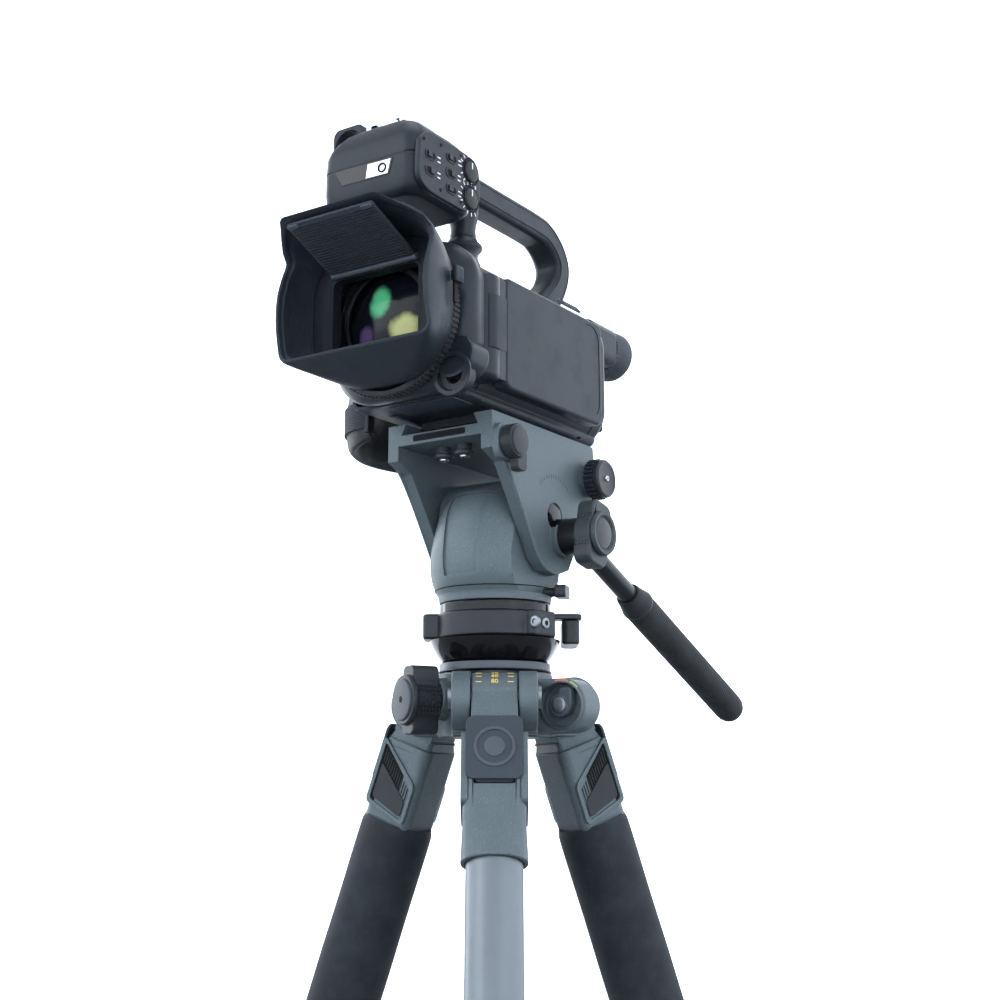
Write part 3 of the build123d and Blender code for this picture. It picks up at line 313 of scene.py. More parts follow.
def plain(name, colour, rough=0.4, metallic=0.0, marks=0.08):
    """Paint, ink or a small bright part."""
    made = Finish(name)
    cloud = made.noise(300.0, 3.0, 0.6)
    base = made.mix(cloud, tone(colour, 0.9), tone(colour, 1.08))
    made.set(Base_Color=base, Metallic=metallic, Roughness=rough + cloud * marks)
    return made.bump(made.noise(1800.0, 2.0), 0.25, 0.00002)


def coated_glass(name):
    """Dark glass with painted reflections: green, straw and violet patches in the colours a multi-layer
    coating reflects, painted into its colour at fixed places, with a faint painted glow.
    """
    made = Finish(name)
    across = made.axis(0) - ORIGIN.x
    up = made.axis(2) - (ORIGIN.z + LENS_Z * MM)
    far = made.noise(140.0, 3.0, 0.6)

    def painted_reflection(x, z, wide, tall):
        dx = (across - x) * (1 / wide)
        dz = (up - z) * (1 / tall)
        spread = dx * dx + dz * dz + (far - 0.5) * 0.9
        return 1 - made.band(spread, 0.15, 1.0)

    # painted reflections of the coating: coloured patches fixed on the glass face, whatever the lamps do
    green = painted_reflection(-0.0060, 0.0095, 0.0085, 0.0100)
    straw = painted_reflection(0.0105, -0.0065, 0.0115, 0.0090)
    violet = painted_reflection(-0.0150, -0.0080, 0.0060, 0.0080)
    base = made.mix(green, (0.003, 0.004, 0.006, 1), (0.04, 0.30, 0.14, 1))
    base = made.mix(straw, base, (0.34, 0.34, 0.14, 1))
    base = made.mix(violet * 0.5, base, (0.10, 0.06, 0.16, 1))
    made.set(Base_Color=base, Roughness=0.09 + far * 0.03, Specular_IOR_Level=0.12)
    # painted glow: the green and straw patches give off a little light of their own
    painted_glow = made.mix(green.max(straw), (0, 0, 0, 1), (0.20, 0.36, 0.14, 1))
    made.set(Emission_Color=painted_glow, Emission_Strength=0.12)
    return made


FINISH = {}


def mix_finishes():
    """Every finish of the object, under a maker's name."""
    tint = colours()
    FINISH.update({
        "powder": powder_coat("grey green powder coat", tint.powder),
        "powder_dark": powder_coat("dark powder coat", [c * 0.42 for c in tint.powder]),
        "shell": moulded("charcoal case", tint.shell, 0.42, 2600.0, 0.00003, 0.3),
        "shell_gloss": moulded("polished front shell", tint.shell, 0.36, 3200.0, 0.00001, 0.2, 0.08),
        "hood": moulded("matt hood", tint.hood, 0.50, 2200.0, 0.00004, 0.3),
        "trap": moulded("black light trap", [c * 0.45 for c in tint.hood], 0.62, 2400.0, 0.00004, 0.2),
        "grey_trim": moulded("grey trim", (0.055, 0.066, 0.078), 0.42),
        "flap": moulded("barrier plastic", (0.033, 0.041, 0.051), 0.45),
        "steel": satin_metal("satin steel", (0.20, 0.215, 0.23), 0.28),
        "black": moulded("black moulding", (0.012, 0.013, 0.015), 0.40),
        "gap": moulded("shadow gap", (0.003, 0.003, 0.004), 0.7),
        "knob": moulded("knob plastic", (0.022, 0.025, 0.028), 0.38, 2000.0, 0.00005),
        "rubber": rubbery("grip rubber", (0.016, 0.018, 0.020), 0.62),
        "foam": rubbery("sleeve foam", tint.foam, 0.70, 1700.0, 0.00010),
        "eyecup": rubbery("eyecup rubber", (0.035, 0.042, 0.052), 0.58, 2400.0, 0.00003),
        "tube": satin_metal("anodised leg tube", tint.tube, 0.34),
        "anodised": satin_metal("black anodised", (0.030, 0.032, 0.036), 0.30, 0.85),
        "disc": satin_metal("turned collar", (0.060, 0.066, 0.075), 0.26, 0.9, (900.0, 900.0, 4000.0)),
        "gloss_black": plain("polished black ball", (0.004, 0.004, 0.005), 0.06, 0.0, 0.05),
        "chrome": satin_metal("bright steel", (0.50, 0.52, 0.54), 0.20, 1.0, (2000.0, 2000.0, 2000.0)),
        "ink": plain("scale ink", tint.scale_ink, 0.5),
        "white": plain("white ink", (0.72, 0.73, 0.74), 0.5),
        "orange": plain("orange mark", (0.75, 0.12, 0.03), 0.45),
        "lime": plain("green mark", (0.30, 0.50, 0.10), 0.45),
        "red": plain("record red", (0.42, 0.02, 0.02), 0.3),
        "smoke": plain("smoked window", (0.004, 0.005, 0.007), 0.05),
        "lamp": satin_metal("lamp reflector", (0.55, 0.58, 0.61), 0.22),
        "blue_label": plain("slate underside plate", (0.020, 0.030, 0.042), 0.40),
        "screen": plain("screen glass", (0.006, 0.007, 0.009), 0.08),
        "buckle": moulded("buckle plastic", (0.050, 0.060, 0.072), 0.35),
        "webbing": webbing("woven strap", (0.020, 0.024, 0.030)),
        "leather": leather("hand pad", (0.010, 0.011, 0.013)),
        "glass": coated_glass("coated front lens"),
    })


# ------------------------------------------------------------------ mesh code
def settle(mesh, finish, body, name, sharp=38.0, slot=None, stands_for=()):
    """Makes the mesh a piece of the object, with its finish, smoothing and body."""
    mesh.materials.clear()
    mesh.materials.append(FINISH[finish].material)
    mesh.shade_smooth()
    mesh.set_sharp_from_angle(angle=math.radians(sharp))
    made = bpy.data.objects.new(name, mesh)
    bpy.context.scene.collection.objects.link(made)
    weighted = made.modifiers.new("even shading", "WEIGHTED_NORMAL")
    weighted.keep_sharp = True
    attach(made, body)
    if stands_for:
        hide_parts(*stands_for)
    return made


def clean(bm, weld=2e-6):
    """Welds points that meet and turns every face outward."""
    bmesh.ops.remove_doubles(bm, verts=bm.verts, dist=weld)
    bmesh.ops.recalc_face_normals(bm, faces=bm.faces)


def round_edges(bm, width, angle=28.0, segments=2):
    """Rounds every edge that turns by more than the angle."""
    limit = math.radians(angle)
    picked = [e for e in bm.edges if len(e.link_faces) == 2 and e.calc_face_angle(0.0) > limit]
    bmesh.ops.bevel(bm, geom=picked, offset=width, segments=segments, profile=0.6,
                    affect="EDGES", clamp_overlap=False)


def solid(name, points, faces, finish, body, matrix=HOME, rounding=0.0, sharp=38.0, **extra):
    """A closed piece from points in millimetres and faces."""
    bm = bmesh.new()
    corners = [bm.verts.new(Vector(p) * MM) for p in points]
    for face in faces:
        if len(set(face)) > 2:
            bm.faces.new([corners[i] for i in face])
    clean(bm)
    if rounding:
        round_edges(bm, rounding * MM)
    bm.transform(matrix)
    mesh = bpy.data.meshes.new(name)
    bm.to_mesh(mesh)
    bm.free()
    return settle(mesh, finish, body, name, sharp, **extra)


def skin(rings, ends="caps"):
    """Faces between rings of equal length; ends is caps, open or loop."""
    count = len(rings[0])
    points = [p for ring in rings for p in ring]
    faces = []
    last = len(rings) if ends == "loop" else len(rings) - 1
    for r in range(last):
        a, b = r * count, ((r + 1) % len(rings)) * count
        for i in range(count):
            j = (i + 1) % count
            faces.append((a + i, a + j, b + j, b + i))
    if ends == "caps":
        faces.append(tuple(reversed(range(count))))
        faces.append(tuple((len(rings) - 1) * count + i for i in range(count)))
    return points, faces


def oblong(half_w, half_h, radius, corner=8):
    """Points round a rounded rectangle, anticlockwise."""
    radius = min(radius, half_w, half_h)
    around = []
    for quarter, (sx, sy) in enumerate(((1, 1), (-1, 1), (-1, -1), (1, -1))):
        for step in range(corner + 1):
            turn = (quarter + step / corner) * math.pi / 2
            around.append((sx * (half_w - radius) + radius * math.cos(turn),
                           sy * (half_h - radius) + radius * math.sin(turn)))
    return around


def circle(radius, steps=64, start=0.0):
    """Points round a circle, anticlockwise."""
    return [(radius * math.cos(start + i * TAU / steps), radius * math.sin(start + i * TAU / steps))
            for i in range(steps)]


def turn_to(matrix, origin, direction, up=(0, 0, 1)):
    """A frame inside another one, its z along the direction."""
    z = Vector(direction).normalized()
    y = Vector(up) - z * Vector(up).dot(z)
    y = y.normalized() if y.length > 1e-6 else Vector((1, 0, 0))
    x = y.cross(z)
    return matrix @ Matrix.Translation(Vector(origin) * MM) @ Matrix((x, y, z)).transposed().to_4x4()


def turned(name, profile, finish, body, matrix, steps=72, **extra):
    """A lathe piece: the profile holds (radius, height) pairs round the frame's z."""
    rings = [[(max(r, 1e-4) * x, max(r, 1e-4) * y, h) for x, y in circle(1.0, steps)] for r, h in profile]
    closed = profile[0][0] > 0.01
    points, faces = skin(rings, "loop" if closed else "open")
    return solid(name, points, faces, finish, body, matrix, **extra)


def slab(name, outline, low, high, finish, body, matrix, rounding=0.4, **extra):
    """A plate of this outline between two heights in the frame's z."""
    rings = [[(x, y, low) for x, y in outline], [(x, y, high) for x, y in outline]]
    points, faces = skin(rings)
    return solid(name, points, faces, finish, body, matrix, rounding, **extra)


def frame_plate(name, outer, inner, low, high, finish, body, matrix, rounding=0.3, **extra):
    """A plate with a window; both outlines have the same number of points."""
    rings = [[(x, y, low) for x, y in outer], [(x, y, high) for x, y in outer],
             [(x, y, high) for x, y in inner], [(x, y, low) for x, y in inner]]
    points, faces = skin(rings, "loop")
    return solid(name, points, faces, finish, body, matrix, rounding, **extra)


def block(name, low, high, finish, body, rounding=0.6, matrix=HOME, **extra):
    """A box between two corners with rounded edges."""
    outline = [(low[0], low[1]), (high[0], low[1]), (high[0], high[1]), (low[0], high[1])]
    return slab(name, outline, low[2], high[2], finish, body, matrix, rounding, **extra)


def smooth_path(points, per=6):
    """A smooth curve through points of any dimension."""
    ends = [points[0]] + list(points) + [points[-1]]
    made = []
    for i in range(1, len(ends) - 2):
        p0, p1, p2, p3 = (ends[i + k] for k in (-1, 0, 1, 2))
        for step in range(per):
            t = step / per
            made.append(tuple(
                0.5 * (2 * b + (c - a) * t + (2 * a - 5 * b + 4 * c - d) * t**2
                       + (3 * b - a - 3 * c + d) * t**3)
                for a, b, c, d in zip(p0, p1, p2, p3)))
    made.append(tuple(points[-1]))
    return made


def soften(node, finish, width=None, angle=28.0, slot=None, sharp=38.0, merge=True):
    """Stands a rounded copy of a CAD node in its place."""
    bm = bmesh.new()
    bm.from_mesh(NODES[node].data)
    bmesh.ops.remove_doubles(bm, verts=bm.verts, dist=2e-6)
    if merge:
        bmesh.ops.dissolve_limit(bm, angle_limit=math.radians(0.5), verts=bm.verts, edges=bm.edges)
    round_edges(bm, sizes().edge if width is None else width * MM, angle)
    mesh = bpy.data.meshes.new(node + "_finished")
    bm.to_mesh(mesh)
    bm.free()
    return settle(mesh, finish, NODES[node]["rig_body"], node + "_finished", sharp,
                  slot=slot, stands_for=(node,))


def coat(node, finish):
    """Gives a CAD node its finish."""
    mesh = NODES[node].data
    mesh.materials.clear()
    mesh.materials.append(FINISH[finish].material)


# ------------------------------------------------------------------ geometry nodes
def named_input(tree, name, kind):
    """Adds an input to a node tree and returns its key."""
    return tree.interface.new_socket(name=name, in_out="INPUT", socket_type=kind).identifier


def repeat_tree():
    """Copies the piece along a row, turning each copy by an equal step."""
    tree = bpy.data.node_groups.new("repeat a piece", "GeometryNodeTree")
    named_input(tree, "Geometry", "NodeSocketGeometry")
    keys = {name: named_input(tree, name, kind) for name, kind in (
        ("Count", "NodeSocketInt"), ("Step", "NodeSocketVector"),
        ("Turn", "NodeSocketVector"), ("Finish", "NodeSocketMaterial"))}
    tree.interface.new_socket(name="Geometry", in_out="OUTPUT", socket_type="NodeSocketGeometry")
    add, link = tree.nodes.new, tree.links.new
    source, result = add("NodeGroupInput"), add("NodeGroupOutput")
    line = add("GeometryNodeMeshLine")
    index, scale = add("GeometryNodeInputIndex"), add("ShaderNodeVectorMath")
    scale.operation = "SCALE"
    euler = add("FunctionNodeEulerToRotation")
    copies, real, paint = (add("GeometryNodeInstanceOnPoints"), add("GeometryNodeRealizeInstances"),
                           add("GeometryNodeSetMaterial"))
    link(source.outputs["Count"], line.inputs["Count"])
    link(source.outputs["Step"], line.inputs["Offset"])
    link(source.outputs["Turn"], scale.inputs[0])
    link(index.outputs[0], scale.inputs["Scale"])
    link(scale.outputs[0], euler.inputs[0])
    link(line.outputs[0], copies.inputs["Points"])
    link(source.outputs["Geometry"], copies.inputs["Instance"])
    link(euler.outputs[0], copies.inputs["Rotation"])
    link(copies.outputs[0], real.inputs[0])
    link(real.outputs[0], paint.inputs["Geometry"])
    link(source.outputs["Finish"], paint.inputs["Material"])
    link(paint.outputs[0], result.inputs[0])
    return tree, keys


def bead_tree():
    """Runs a rounded bead along the object's curve."""
    tree = bpy.data.node_groups.new("bead along a path", "GeometryNodeTree")
    named_input(tree, "Geometry", "NodeSocketGeometry")
    keys = {name: named_input(tree, name, kind) for name, kind in (
        ("Width", "NodeSocketFloat"), ("Finish", "NodeSocketMaterial"))}
    tree.interface.new_socket(name="Geometry", in_out="OUTPUT", socket_type="NodeSocketGeometry")
    add, link = tree.nodes.new, tree.links.new
    source, result = add("NodeGroupInput"), add("NodeGroupOutput")
    section = add("GeometryNodeCurvePrimitiveCircle")
    section.inputs["Resolution"].default_value = 8
    sweep, real, paint = (add("GeometryNodeCurveToMesh"), add("GeometryNodeRealizeInstances"),
                          add("GeometryNodeSetMaterial"))
    sweep.inputs["Fill Caps"].default_value = True
    link(source.outputs["Geometry"], sweep.inputs["Curve"])
    link(source.outputs["Width"], section.inputs["Radius"])
    link(section.outputs[0], sweep.inputs["Profile Curve"])
    link(sweep.outputs[0], real.inputs[0])
    link(real.outputs[0], paint.inputs["Geometry"])
    link(source.outputs["Finish"], paint.inputs["Material"])
    link(paint.outputs[0], result.inputs[0])
    return tree, keys


TREES = {}


def bake(source, kind, values):
    """Evaluates one of the trees on an object and returns a plain mesh."""
    tree, keys = TREES[kind]
    holder = bpy.data.objects.new("growing", source)
    bpy.context.scene.collection.objects.link(holder)
    modifier = holder.modifiers.new(kind, "NODES")
    modifier.node_group = tree
    for name, value in values.items():
        modifier[keys[name]] = value
    bpy.context.view_layer.update()
    depsgraph = bpy.context.evaluated_depsgraph_get()
    mesh = bpy.data.meshes.new_from_object(holder.evaluated_get(depsgraph))
    holder.modifiers.remove(modifier)
    bpy.data.objects.remove(holder)
    return mesh


def lump(points, faces, rounding=0.0):
    """A small mesh in millimetres, for repeating."""
    bm = bmesh.new()
    corners = [bm.verts.new(Vector(p) * MM) for p in points]
    for face in faces:
        bm.faces.new([corners[i] for i in face])
    clean(bm)
    if rounding:
        round_edges(bm, rounding * MM, segments=1)
    mesh = bpy.data.meshes.new("lump")
    bm.to_mesh(mesh)
    bm.free()
    return mesh


def brick(size, centre=(0, 0, 0), rounding=0.0):
    """A small box, for repeating."""
    x, y, z = (s / 2 for s in size)
    cx, cy, cz = centre
    rings = [[(cx + sx * x, cy + sy * y, cz + sz * z) for sx, sy in ((-1, -1), (1, -1), (1, 1), (-1, 1))]
             for sz in (-1, 1)]
    return lump(*skin(rings), rounding)


def repeated(name, element, finish, body, matrix, rows, sharp=38.0):
    """Repeats the element by each (count, step in mm, turn) in rows."""
    mesh = element
    for count, step, turn in rows:
        mesh = bake(mesh, "repeat", {
            "Count": count, "Step": tuple(s * MM for s in step), "Turn": turn,
            "Finish": FINISH[finish].material})
    mesh.transform(matrix)
    return settle(mesh, finish, body, name, sharp)


def round_the_axis(count):
    """The rows for copies spread evenly round the frame's z."""
    return [(count, (0, 0, 0), (0, 0, TAU / count))]


def beaded(name, path, width, finish, body, matrix=HOME, closed=False):
    """A bead of this width in millimetres along points."""
    curve = bpy.data.curves.new(name, "CURVE")
    curve.dimensions = "3D"
    spline = curve.splines.new("POLY")
    spline.points.add(len(path) - 1)
    for point, place in zip(spline.points, path):
        point.co = (*(Vector(place) * MM), 1)
    spline.use_cyclic_u = closed
    mesh = bake(curve, "bead", {"Width": width * MM, "Finish": FINISH[finish].material})
    mesh.transform(matrix)
    bm = bmesh.new()
    bm.from_mesh(mesh)
    clean(bm, 1e-7)
    bm.to_mesh(mesh)
    bm.free()
    return settle(mesh, finish, body, name)


# ------------------------------------------------------------------ legs
def leg_frame(number):
    """The leg's own frame: z up along the leg, x outward, origin on its hinge."""
    pivot = Vector(JOINTS[f"leg_{number}_spread"]["pos_m"])
    out = pivot - ORIGIN
    heading = Matrix.Rotation(math.atan2(out.y, out.x), 4, "Z")
    return Matrix.Translation(pivot) @ heading @ Matrix.Rotation(math.radians(-LEG_SPREAD), 4, "Y")


def numerals(name, words, height, matrix_of, finish, body):
    """Small printed numbers, each lifted off by its own frame."""
    bm = bmesh.new()
    for place, word in enumerate(words):
        curve = bpy.data.curves.new(name, "FONT")
        curve.body = word
        curve.align_x = "CENTER"
        curve.align_y = "CENTER"
        curve.size = height * MM
        curve.extrude = 0.05 * MM
        holder = bpy.data.objects.new("growing", curve)
        bpy.context.scene.collection.objects.link(holder)
        bpy.context.view_layer.update()
        mesh = bpy.data.meshes.new_from_object(holder.evaluated_get(bpy.context.evaluated_depsgraph_get()))
        bpy.data.objects.remove(holder)
        mesh.transform(matrix_of(place))
        bm.from_mesh(mesh)
    clean(bm, 1e-7)
    mesh = bpy.data.meshes.new(name)
    bm.to_mesh(mesh)
    bm.free()
    return settle(mesh, finish, body, name)


LATCH_COVER = ((-10.4, 6.0), (-10.4, -13.4), (10.4, -18.2), (10.4, -9.5))
LATCH_RIBS = 13
COLLAR_RIBS = 22


def dress_leg(number):
    """One leg, from its hinge drum to its foot."""
    tag = f"leg_{number}"
    here = leg_frame(number)
    soften(tag + "_casting", "powder", 0.8)
    soften(tag + "_angle_latch", "knob", 0.5)
    soften(tag + "_foot", "rubber", 0.8)
    coat(tag + "_twist_collar", "rubber")
    rib = brick((1.3, 2.6, 26.0), (18.0, 0, -326.0), 0.4)
    repeated(tag + "_collar_ribs", rib, "rubber", tag + "_collar", here, round_the_axis(COLLAR_RIBS))
    coat(tag + "_upper_tube", "tube")
    coat(tag + "_lower_tube", "tube")
    if number > 1:
        dress_sleeve(tag, here)
    latch, casting = tag + "_latch", tag
    slider = turn_to(here, (15.1, 0, -34), (1, 0, 0))
    slab(tag + "_latch_pad", oblong(14.2, 16.5, 4), 0, 1.7, "flap", latch, slider, 0.6)
    frame_plate(tag + "_latch_badge", circle(10.4), circle(8.8), 1.6, 2.4, "grey_trim", latch, slider, 0.25)
    slab(tag + "_badge_disc", circle(5.2, 40), 1.6, 2.2, "grey_trim", latch, slider, 0.25)
    for side, face in ((-1, "right"), (1, "left")):
        there = turn_to(here, (1, side * 15.4, -44), (0, side, 0))
        frame_plate(f"{tag}_window_frame_{face}", window_outline(side, 2.3, 3.4),
                    window_outline(side, 0, 2.2), -2.4, 1.2, "powder", casting, there, 0.45)
        cheek = [(x - 2 * side, y + 5) for x, y in oblong(8.0, 12.6, 2)]
        slab(f"{tag}_window_cheek_{face}", cheek, -1.4, 0.02, "powder", casting, there, 0.05)
        slab(f"{tag}_window_shade_{face}", window_outline(side, 0.5, 2.4), -2.0, 0.15, "gap", casting,
             there, 0.05)
        cover = soft_corners([(side * x, y) for x, y in LATCH_COVER], 2.0)
        slab(f"{tag}_latch_cover_{face}", cover, 0.1, 0.9, "knob", casting, there, 0.3)
        rib = brick((0.65, 7.0, 0.6), (-9.8 * side, 10.2, 0.3), 0.15)
        repeated(f"{tag}_latch_ribs_{face}", rib, "knob", casting, there,
                 [(LATCH_RIBS, (1.64 * side, -1.30, 0), (0, 0, 0))])
        screw = turn_to(here, (-3.5, side * 15.4, -71), (0, side, 0))
        cap_screw(f"{tag}_casting_screw_{face}", 2.2, casting, screw, -1.2)
    ring = [(14.1, -330.4), (16.6, -330.4), (16.9, -329.6), (16.9, -327.4), (14.1, -327.0)]
    turned(tag + "_tube_ring", ring, "powder", tag, here)
    tick = brick((0.15, 3.0, 0.35), (12.05, 8.2, 0))
    tick_pair = [(2, (0, -16.4, 0), (0, 0, 0)), (4, (0, 0, 0), (0, -0.34, 0))]
    start = here @ Matrix.Rotation(math.radians(-14), 4, "Y")
    repeated(tag + "_angle_ticks", tick, "ink", casting, start, tick_pair)

    def round_drum(place):
        turn = Matrix.Rotation(math.radians(-16 - 20 * place), 4, "Y")
        return here @ turn @ turn_to(Matrix.Identity(4), (12.06, 0, 0), (1, 0, 0))

    numerals(tag + "_angle_numbers", ("80", "60", "40"), 3.6, round_drum, "ink", casting)


def soft_corners(corners, radius, steps=5):
    """The outline through these corners with each one rounded off."""
    outline = []
    for before, corner, after in zip(corners[-1:] + corners[:-1], corners, corners[1:] + corners[:1]):
        start, bend, end = Vector(before), Vector(corner), Vector(after)
        first = bend + (start - bend).normalized() * radius
        last = bend + (end - bend).normalized() * radius
        for step in range(steps + 1):
            t = step / steps
            outline.append(tuple(first * (1 - t) ** 2 + bend * 2 * t * (1 - t) + last * t**2))
    return outline


def window_outline(side, grow, radius):
    """The slanted window of a casting, larger all round by grow."""
    corners = ((-11.5 - grow, 17.0 + grow * 1.4), (-11.5 - grow, -15.0 - grow), (11.5 + grow, -19.6 - grow),
               (11.5 + grow, -1.0 + grow * 0.8))
    return soft_corners([(side * x, y) for x, y in corners], radius)


def dress_sleeve(tag, here):
    """The foam sleeve swells a little between its ends and its rims are soft."""
    rings = []
    for step in range(61):
        share = step / 60
        height = -67.2 - share * 238.6
        end = min(share, 1 - share)
        radius = 19.8 - 1.2 * math.exp(-(end / 0.010) ** 2) + 0.08 * math.sin(share * 23)
        rings.append([(x, y, height) for x, y in circle(radius, 72)])
    rings.append([(x, y, -305.9) for x, y in circle(14.1, 72)])
    rings.append([(x, y, -88.5) for x, y in circle(14.1, 72)])
    rings.append([(x, y, -88.3) for x, y in circle(16.8, 72)])
    rings.append([(x, y, -67.1) for x, y in circle(18.6, 72)])
    points, faces = skin(rings, "loop")
    solid(tag + "_sleeve", points, faces, "foam", tag, here, sharp=60,
          stands_for=(tag + "_foam_sleeve",), slot="foam")


def cap_screw(name, radius, body, matrix, sink=0.0, finish="chrome"):
    """A pan-head screw with a hexagonal socket, its head along the frame's z."""
    head = [[(x, y, h + sink) for x, y in circle(radius * r, 36)]
            for r, h in ((0.98, 0), (1.0, 0.3), (0.96, 0.9), (0.8, 1.25), (0.55, 1.3))]
    hexagon = []
    for i in range(36):
        turn = i * TAU / 36
        reach = 0.48 * radius / math.cos((turn + math.pi / 6) % (math.pi / 3) - math.pi / 6)
        hexagon.append((reach * math.cos(turn) * 0.92, reach * math.sin(turn) * 0.92))
    head += [[(x, y, 1.3 + sink) for x, y in hexagon], [(x, y, 0.4 + sink) for x, y in hexagon]]
    points, faces = skin(head)
    return solid(name, points, faces, finish, body, matrix)


# ------------------------------------------------------------------ hub and leveller
def out_at(azimuth):
    """The horizontal direction at this heading in degrees."""
    a = math.radians(azimuth)
    return math.cos(a), math.sin(a), 0.0


def dress_hub():
    """The spider, the column and its controls, and the ball leveller."""
    soften("spider", "powder", 1.0)
    coat("leg_pivot_bolts", "steel")
    soften("centre_column", "disc", 0.5)
    ring = [(29.6, -45.4), (30.5, -45.3), (30.7, -44.9), (30.4, -44.5), (30.2, -44.6)]
    turned("cup_rim_ring", ring, "anodised", "column", HOME, 96)
    x, y, _ = out_at(-116)
    soften("column_lock_knob", "knob", 0.9)
    face = turn_to(HOME, (55.4 * x, 55.4 * y, -61), (x, y, 0))
    turned("column_knob_cap", [(0, 1.3), (8.5, 1.3), (10.4, 1.0), (11.0, 0.3), (11.0, -0.2), (0, -0.2)],
           "flap", "column_knob", face)
    turned("column_knob_dot", [(0, 1.5), (1.5, 1.5), (1.9, 1.2), (0, 1.2)], "gap", "column_knob", face, 32)
    stud = lump([(-0.95, 0, 0), (0, -0.95, 0), (0.95, 0, 0), (0, 0.95, 0), (0, 0, 0.75)],
                [(0, 1, 4), (1, 2, 4), (2, 3, 4), (3, 0, 4), (3, 2, 1, 0)])
    for side in (-1, 1):
        wall = turn_to(face, (side * 10.35, -7.2, -16.4), (side, 0, 0), (0, 1, 0))
        repeated(f"column_knob_studs_{'ab'[side > 0]}", stud.copy(), "knob", "column_knob", wall,
                 [(7, (2.0 * -side, 0, 0), (0, 0, 0)), (8, (0, 2.05, 0), (0, 0, 0))])
    lx, ly, _ = out_at(4)
    soften("column_release_lever", "grey_trim", 0.6)
    lobe = turn_to(HOME, (45 * lx, 45 * ly, -64), (math.sin(math.radians(4)), -math.cos(math.radians(4)), 0))
    frame_plate("lobe_rim", circle(12.9, 72), circle(11.6, 72), 8.9, 9.5, "tube", "stand_hub", lobe, 0.25)
    turned("release_lever_cap", [(0, 12.6), (3.0, 12.6), (3.9, 12.2), (4.1, 11.0), (0, 11.0)], "steel",
           "release_lever", lobe, 48)
    arc = [(13.4 * math.cos(t), 13.4 * math.sin(t)) for t in (1.25 + 0.1 * i for i in range(7))]
    band = arc + [(x * 0.88, y * 0.88) for x, y in reversed(arc)]
    slab("lock_mark", band, 9.0, 9.45, "orange", "stand_hub", lobe, 0.1)
    arc = [(13.4 * math.cos(t), 13.4 * math.sin(t)) for t in (0.75 + 0.1 * i for i in range(5))]
    band = arc + [(x * 0.88, y * 0.88) for x, y in reversed(arc)]
    slab("unlock_mark", band, 9.0, 9.4, "lime", "stand_hub", lobe, 0.1)
    coat("half_ball", "gloss_black")
    soften("bowl_clamp_ring", "anodised", 0.7)
    soften("bowl_clamp_lever", "knob", 0.8)
    ex, ey, _ = out_at(-8)
    boss = turn_to(HOME, (36.0 * ex, 36.0 * ey, -20.6), (ex, ey, 0))
    cap_screw("clamp_set_screw", 3.1, "level_ball", boss, -0.5, "steel")
    side = turn_to(HOME, (32.6 * ex + 3, 32.6 * ey - 10.2, -20.6), (0, -1, 0))
    cap_screw("clamp_side_screw", 3.3, "level_ball", side, -0.6, "steel")


# ------------------------------------------------------------------ fluid head
def dress_head():
    """The fluid head: housing, cradle, plate, knobs and pan bar."""
    soften("head_housing", "powder", 0.35, merge=False)
    groove = [(32.75, -1.2), (33.05, -1.2), (33.05, -0.6), (32.75, -0.6)]
    turned("pan_seam_shadow", groove, "gap", "pan", HOME, 96)
    soften("pan_lock_lever", "knob", 0.6)
    coat("tilt_axle", "chrome")
    soften("tilt_cradle", "powder", 0.35, merge=False)
    coat("release_plate", "anodised")
    coat("camera_screw", "chrome")
    soften("plate_lock_knob", "knob", 0.5)
    soften("tilt_drag_knob", "knob", 0.3)
    soften("pan_bar_clamp_knob", "powder_dark", 0.8)
    for side, label in ((1, "left"), (-1, "right")):
        wall = turn_to(HOME, (side * 34.0, 8, 39), (side, 0, 0))
        turned(f"tilt_axle_cap_{label}", [(0, 0.1), (6.0, 0.1), (7.2, -0.3), (7.2, -0.9), (0, -0.9)],
               "smoke", "tilt", wall, 64)
        tick = brick((0.35, 2.2, 0.25), (0, 22.0, 0))
        tick.transform(Matrix.Rotation(math.radians(42), 4, "Z"))
        repeated(f"tilt_scale_ticks_{label}", tick, "grey_trim", "tilt", wall,
                 [(13, (0, 0, 0), (0, 0, -0.115))])
        lip = cradle_rim(side)
        beaded(f"cradle_rim_{label}", lip, 1.05, "powder", "tilt")
    slab("deck_front_slot", oblong(17, 1.7, 1), -0.3, 0.25, "gap", "tilt",
         turn_to(HOME, (0, -53.05, 77.2), (0, -1, 0)), 0.1)
    for x, y in ((-9, -36), (6, -38)):
        post = turn_to(HOME, (x, y, 74.2), (0, 0, -1), (0, 1, 0))
        stud = [(0, 6.4), (4.2, 6.4), (5.2, 5.7), (5.4, 4.4), (4.4, 3.6), (4.4, 0), (0, 0)]
        turned(f"deck_stud_{int(abs(x))}", stud, "powder_dark", "tilt", post, 48)
        cap_screw(f"deck_stud_screw_{int(abs(x))}", 2.6, "tilt", post, 6.2)
    dress_head_knobs()
    dress_pan_bar()


def cradle_rim(side):
    """The raised rim along the front edge of a cheek."""
    edge = [(-47.0, 66.0), (-40.5, 60.0), (-31.0, 47.5), (-23.4, 36.2), (-16.2, 25.0), (-9.6, 15.2),
            (-3.0, 9.8), (3.0, 8.4)]
    return [(side * 34.0, y, z) for y, z in smooth_path(edge, 5)]


DRAG_KNOB_TEETH = 26


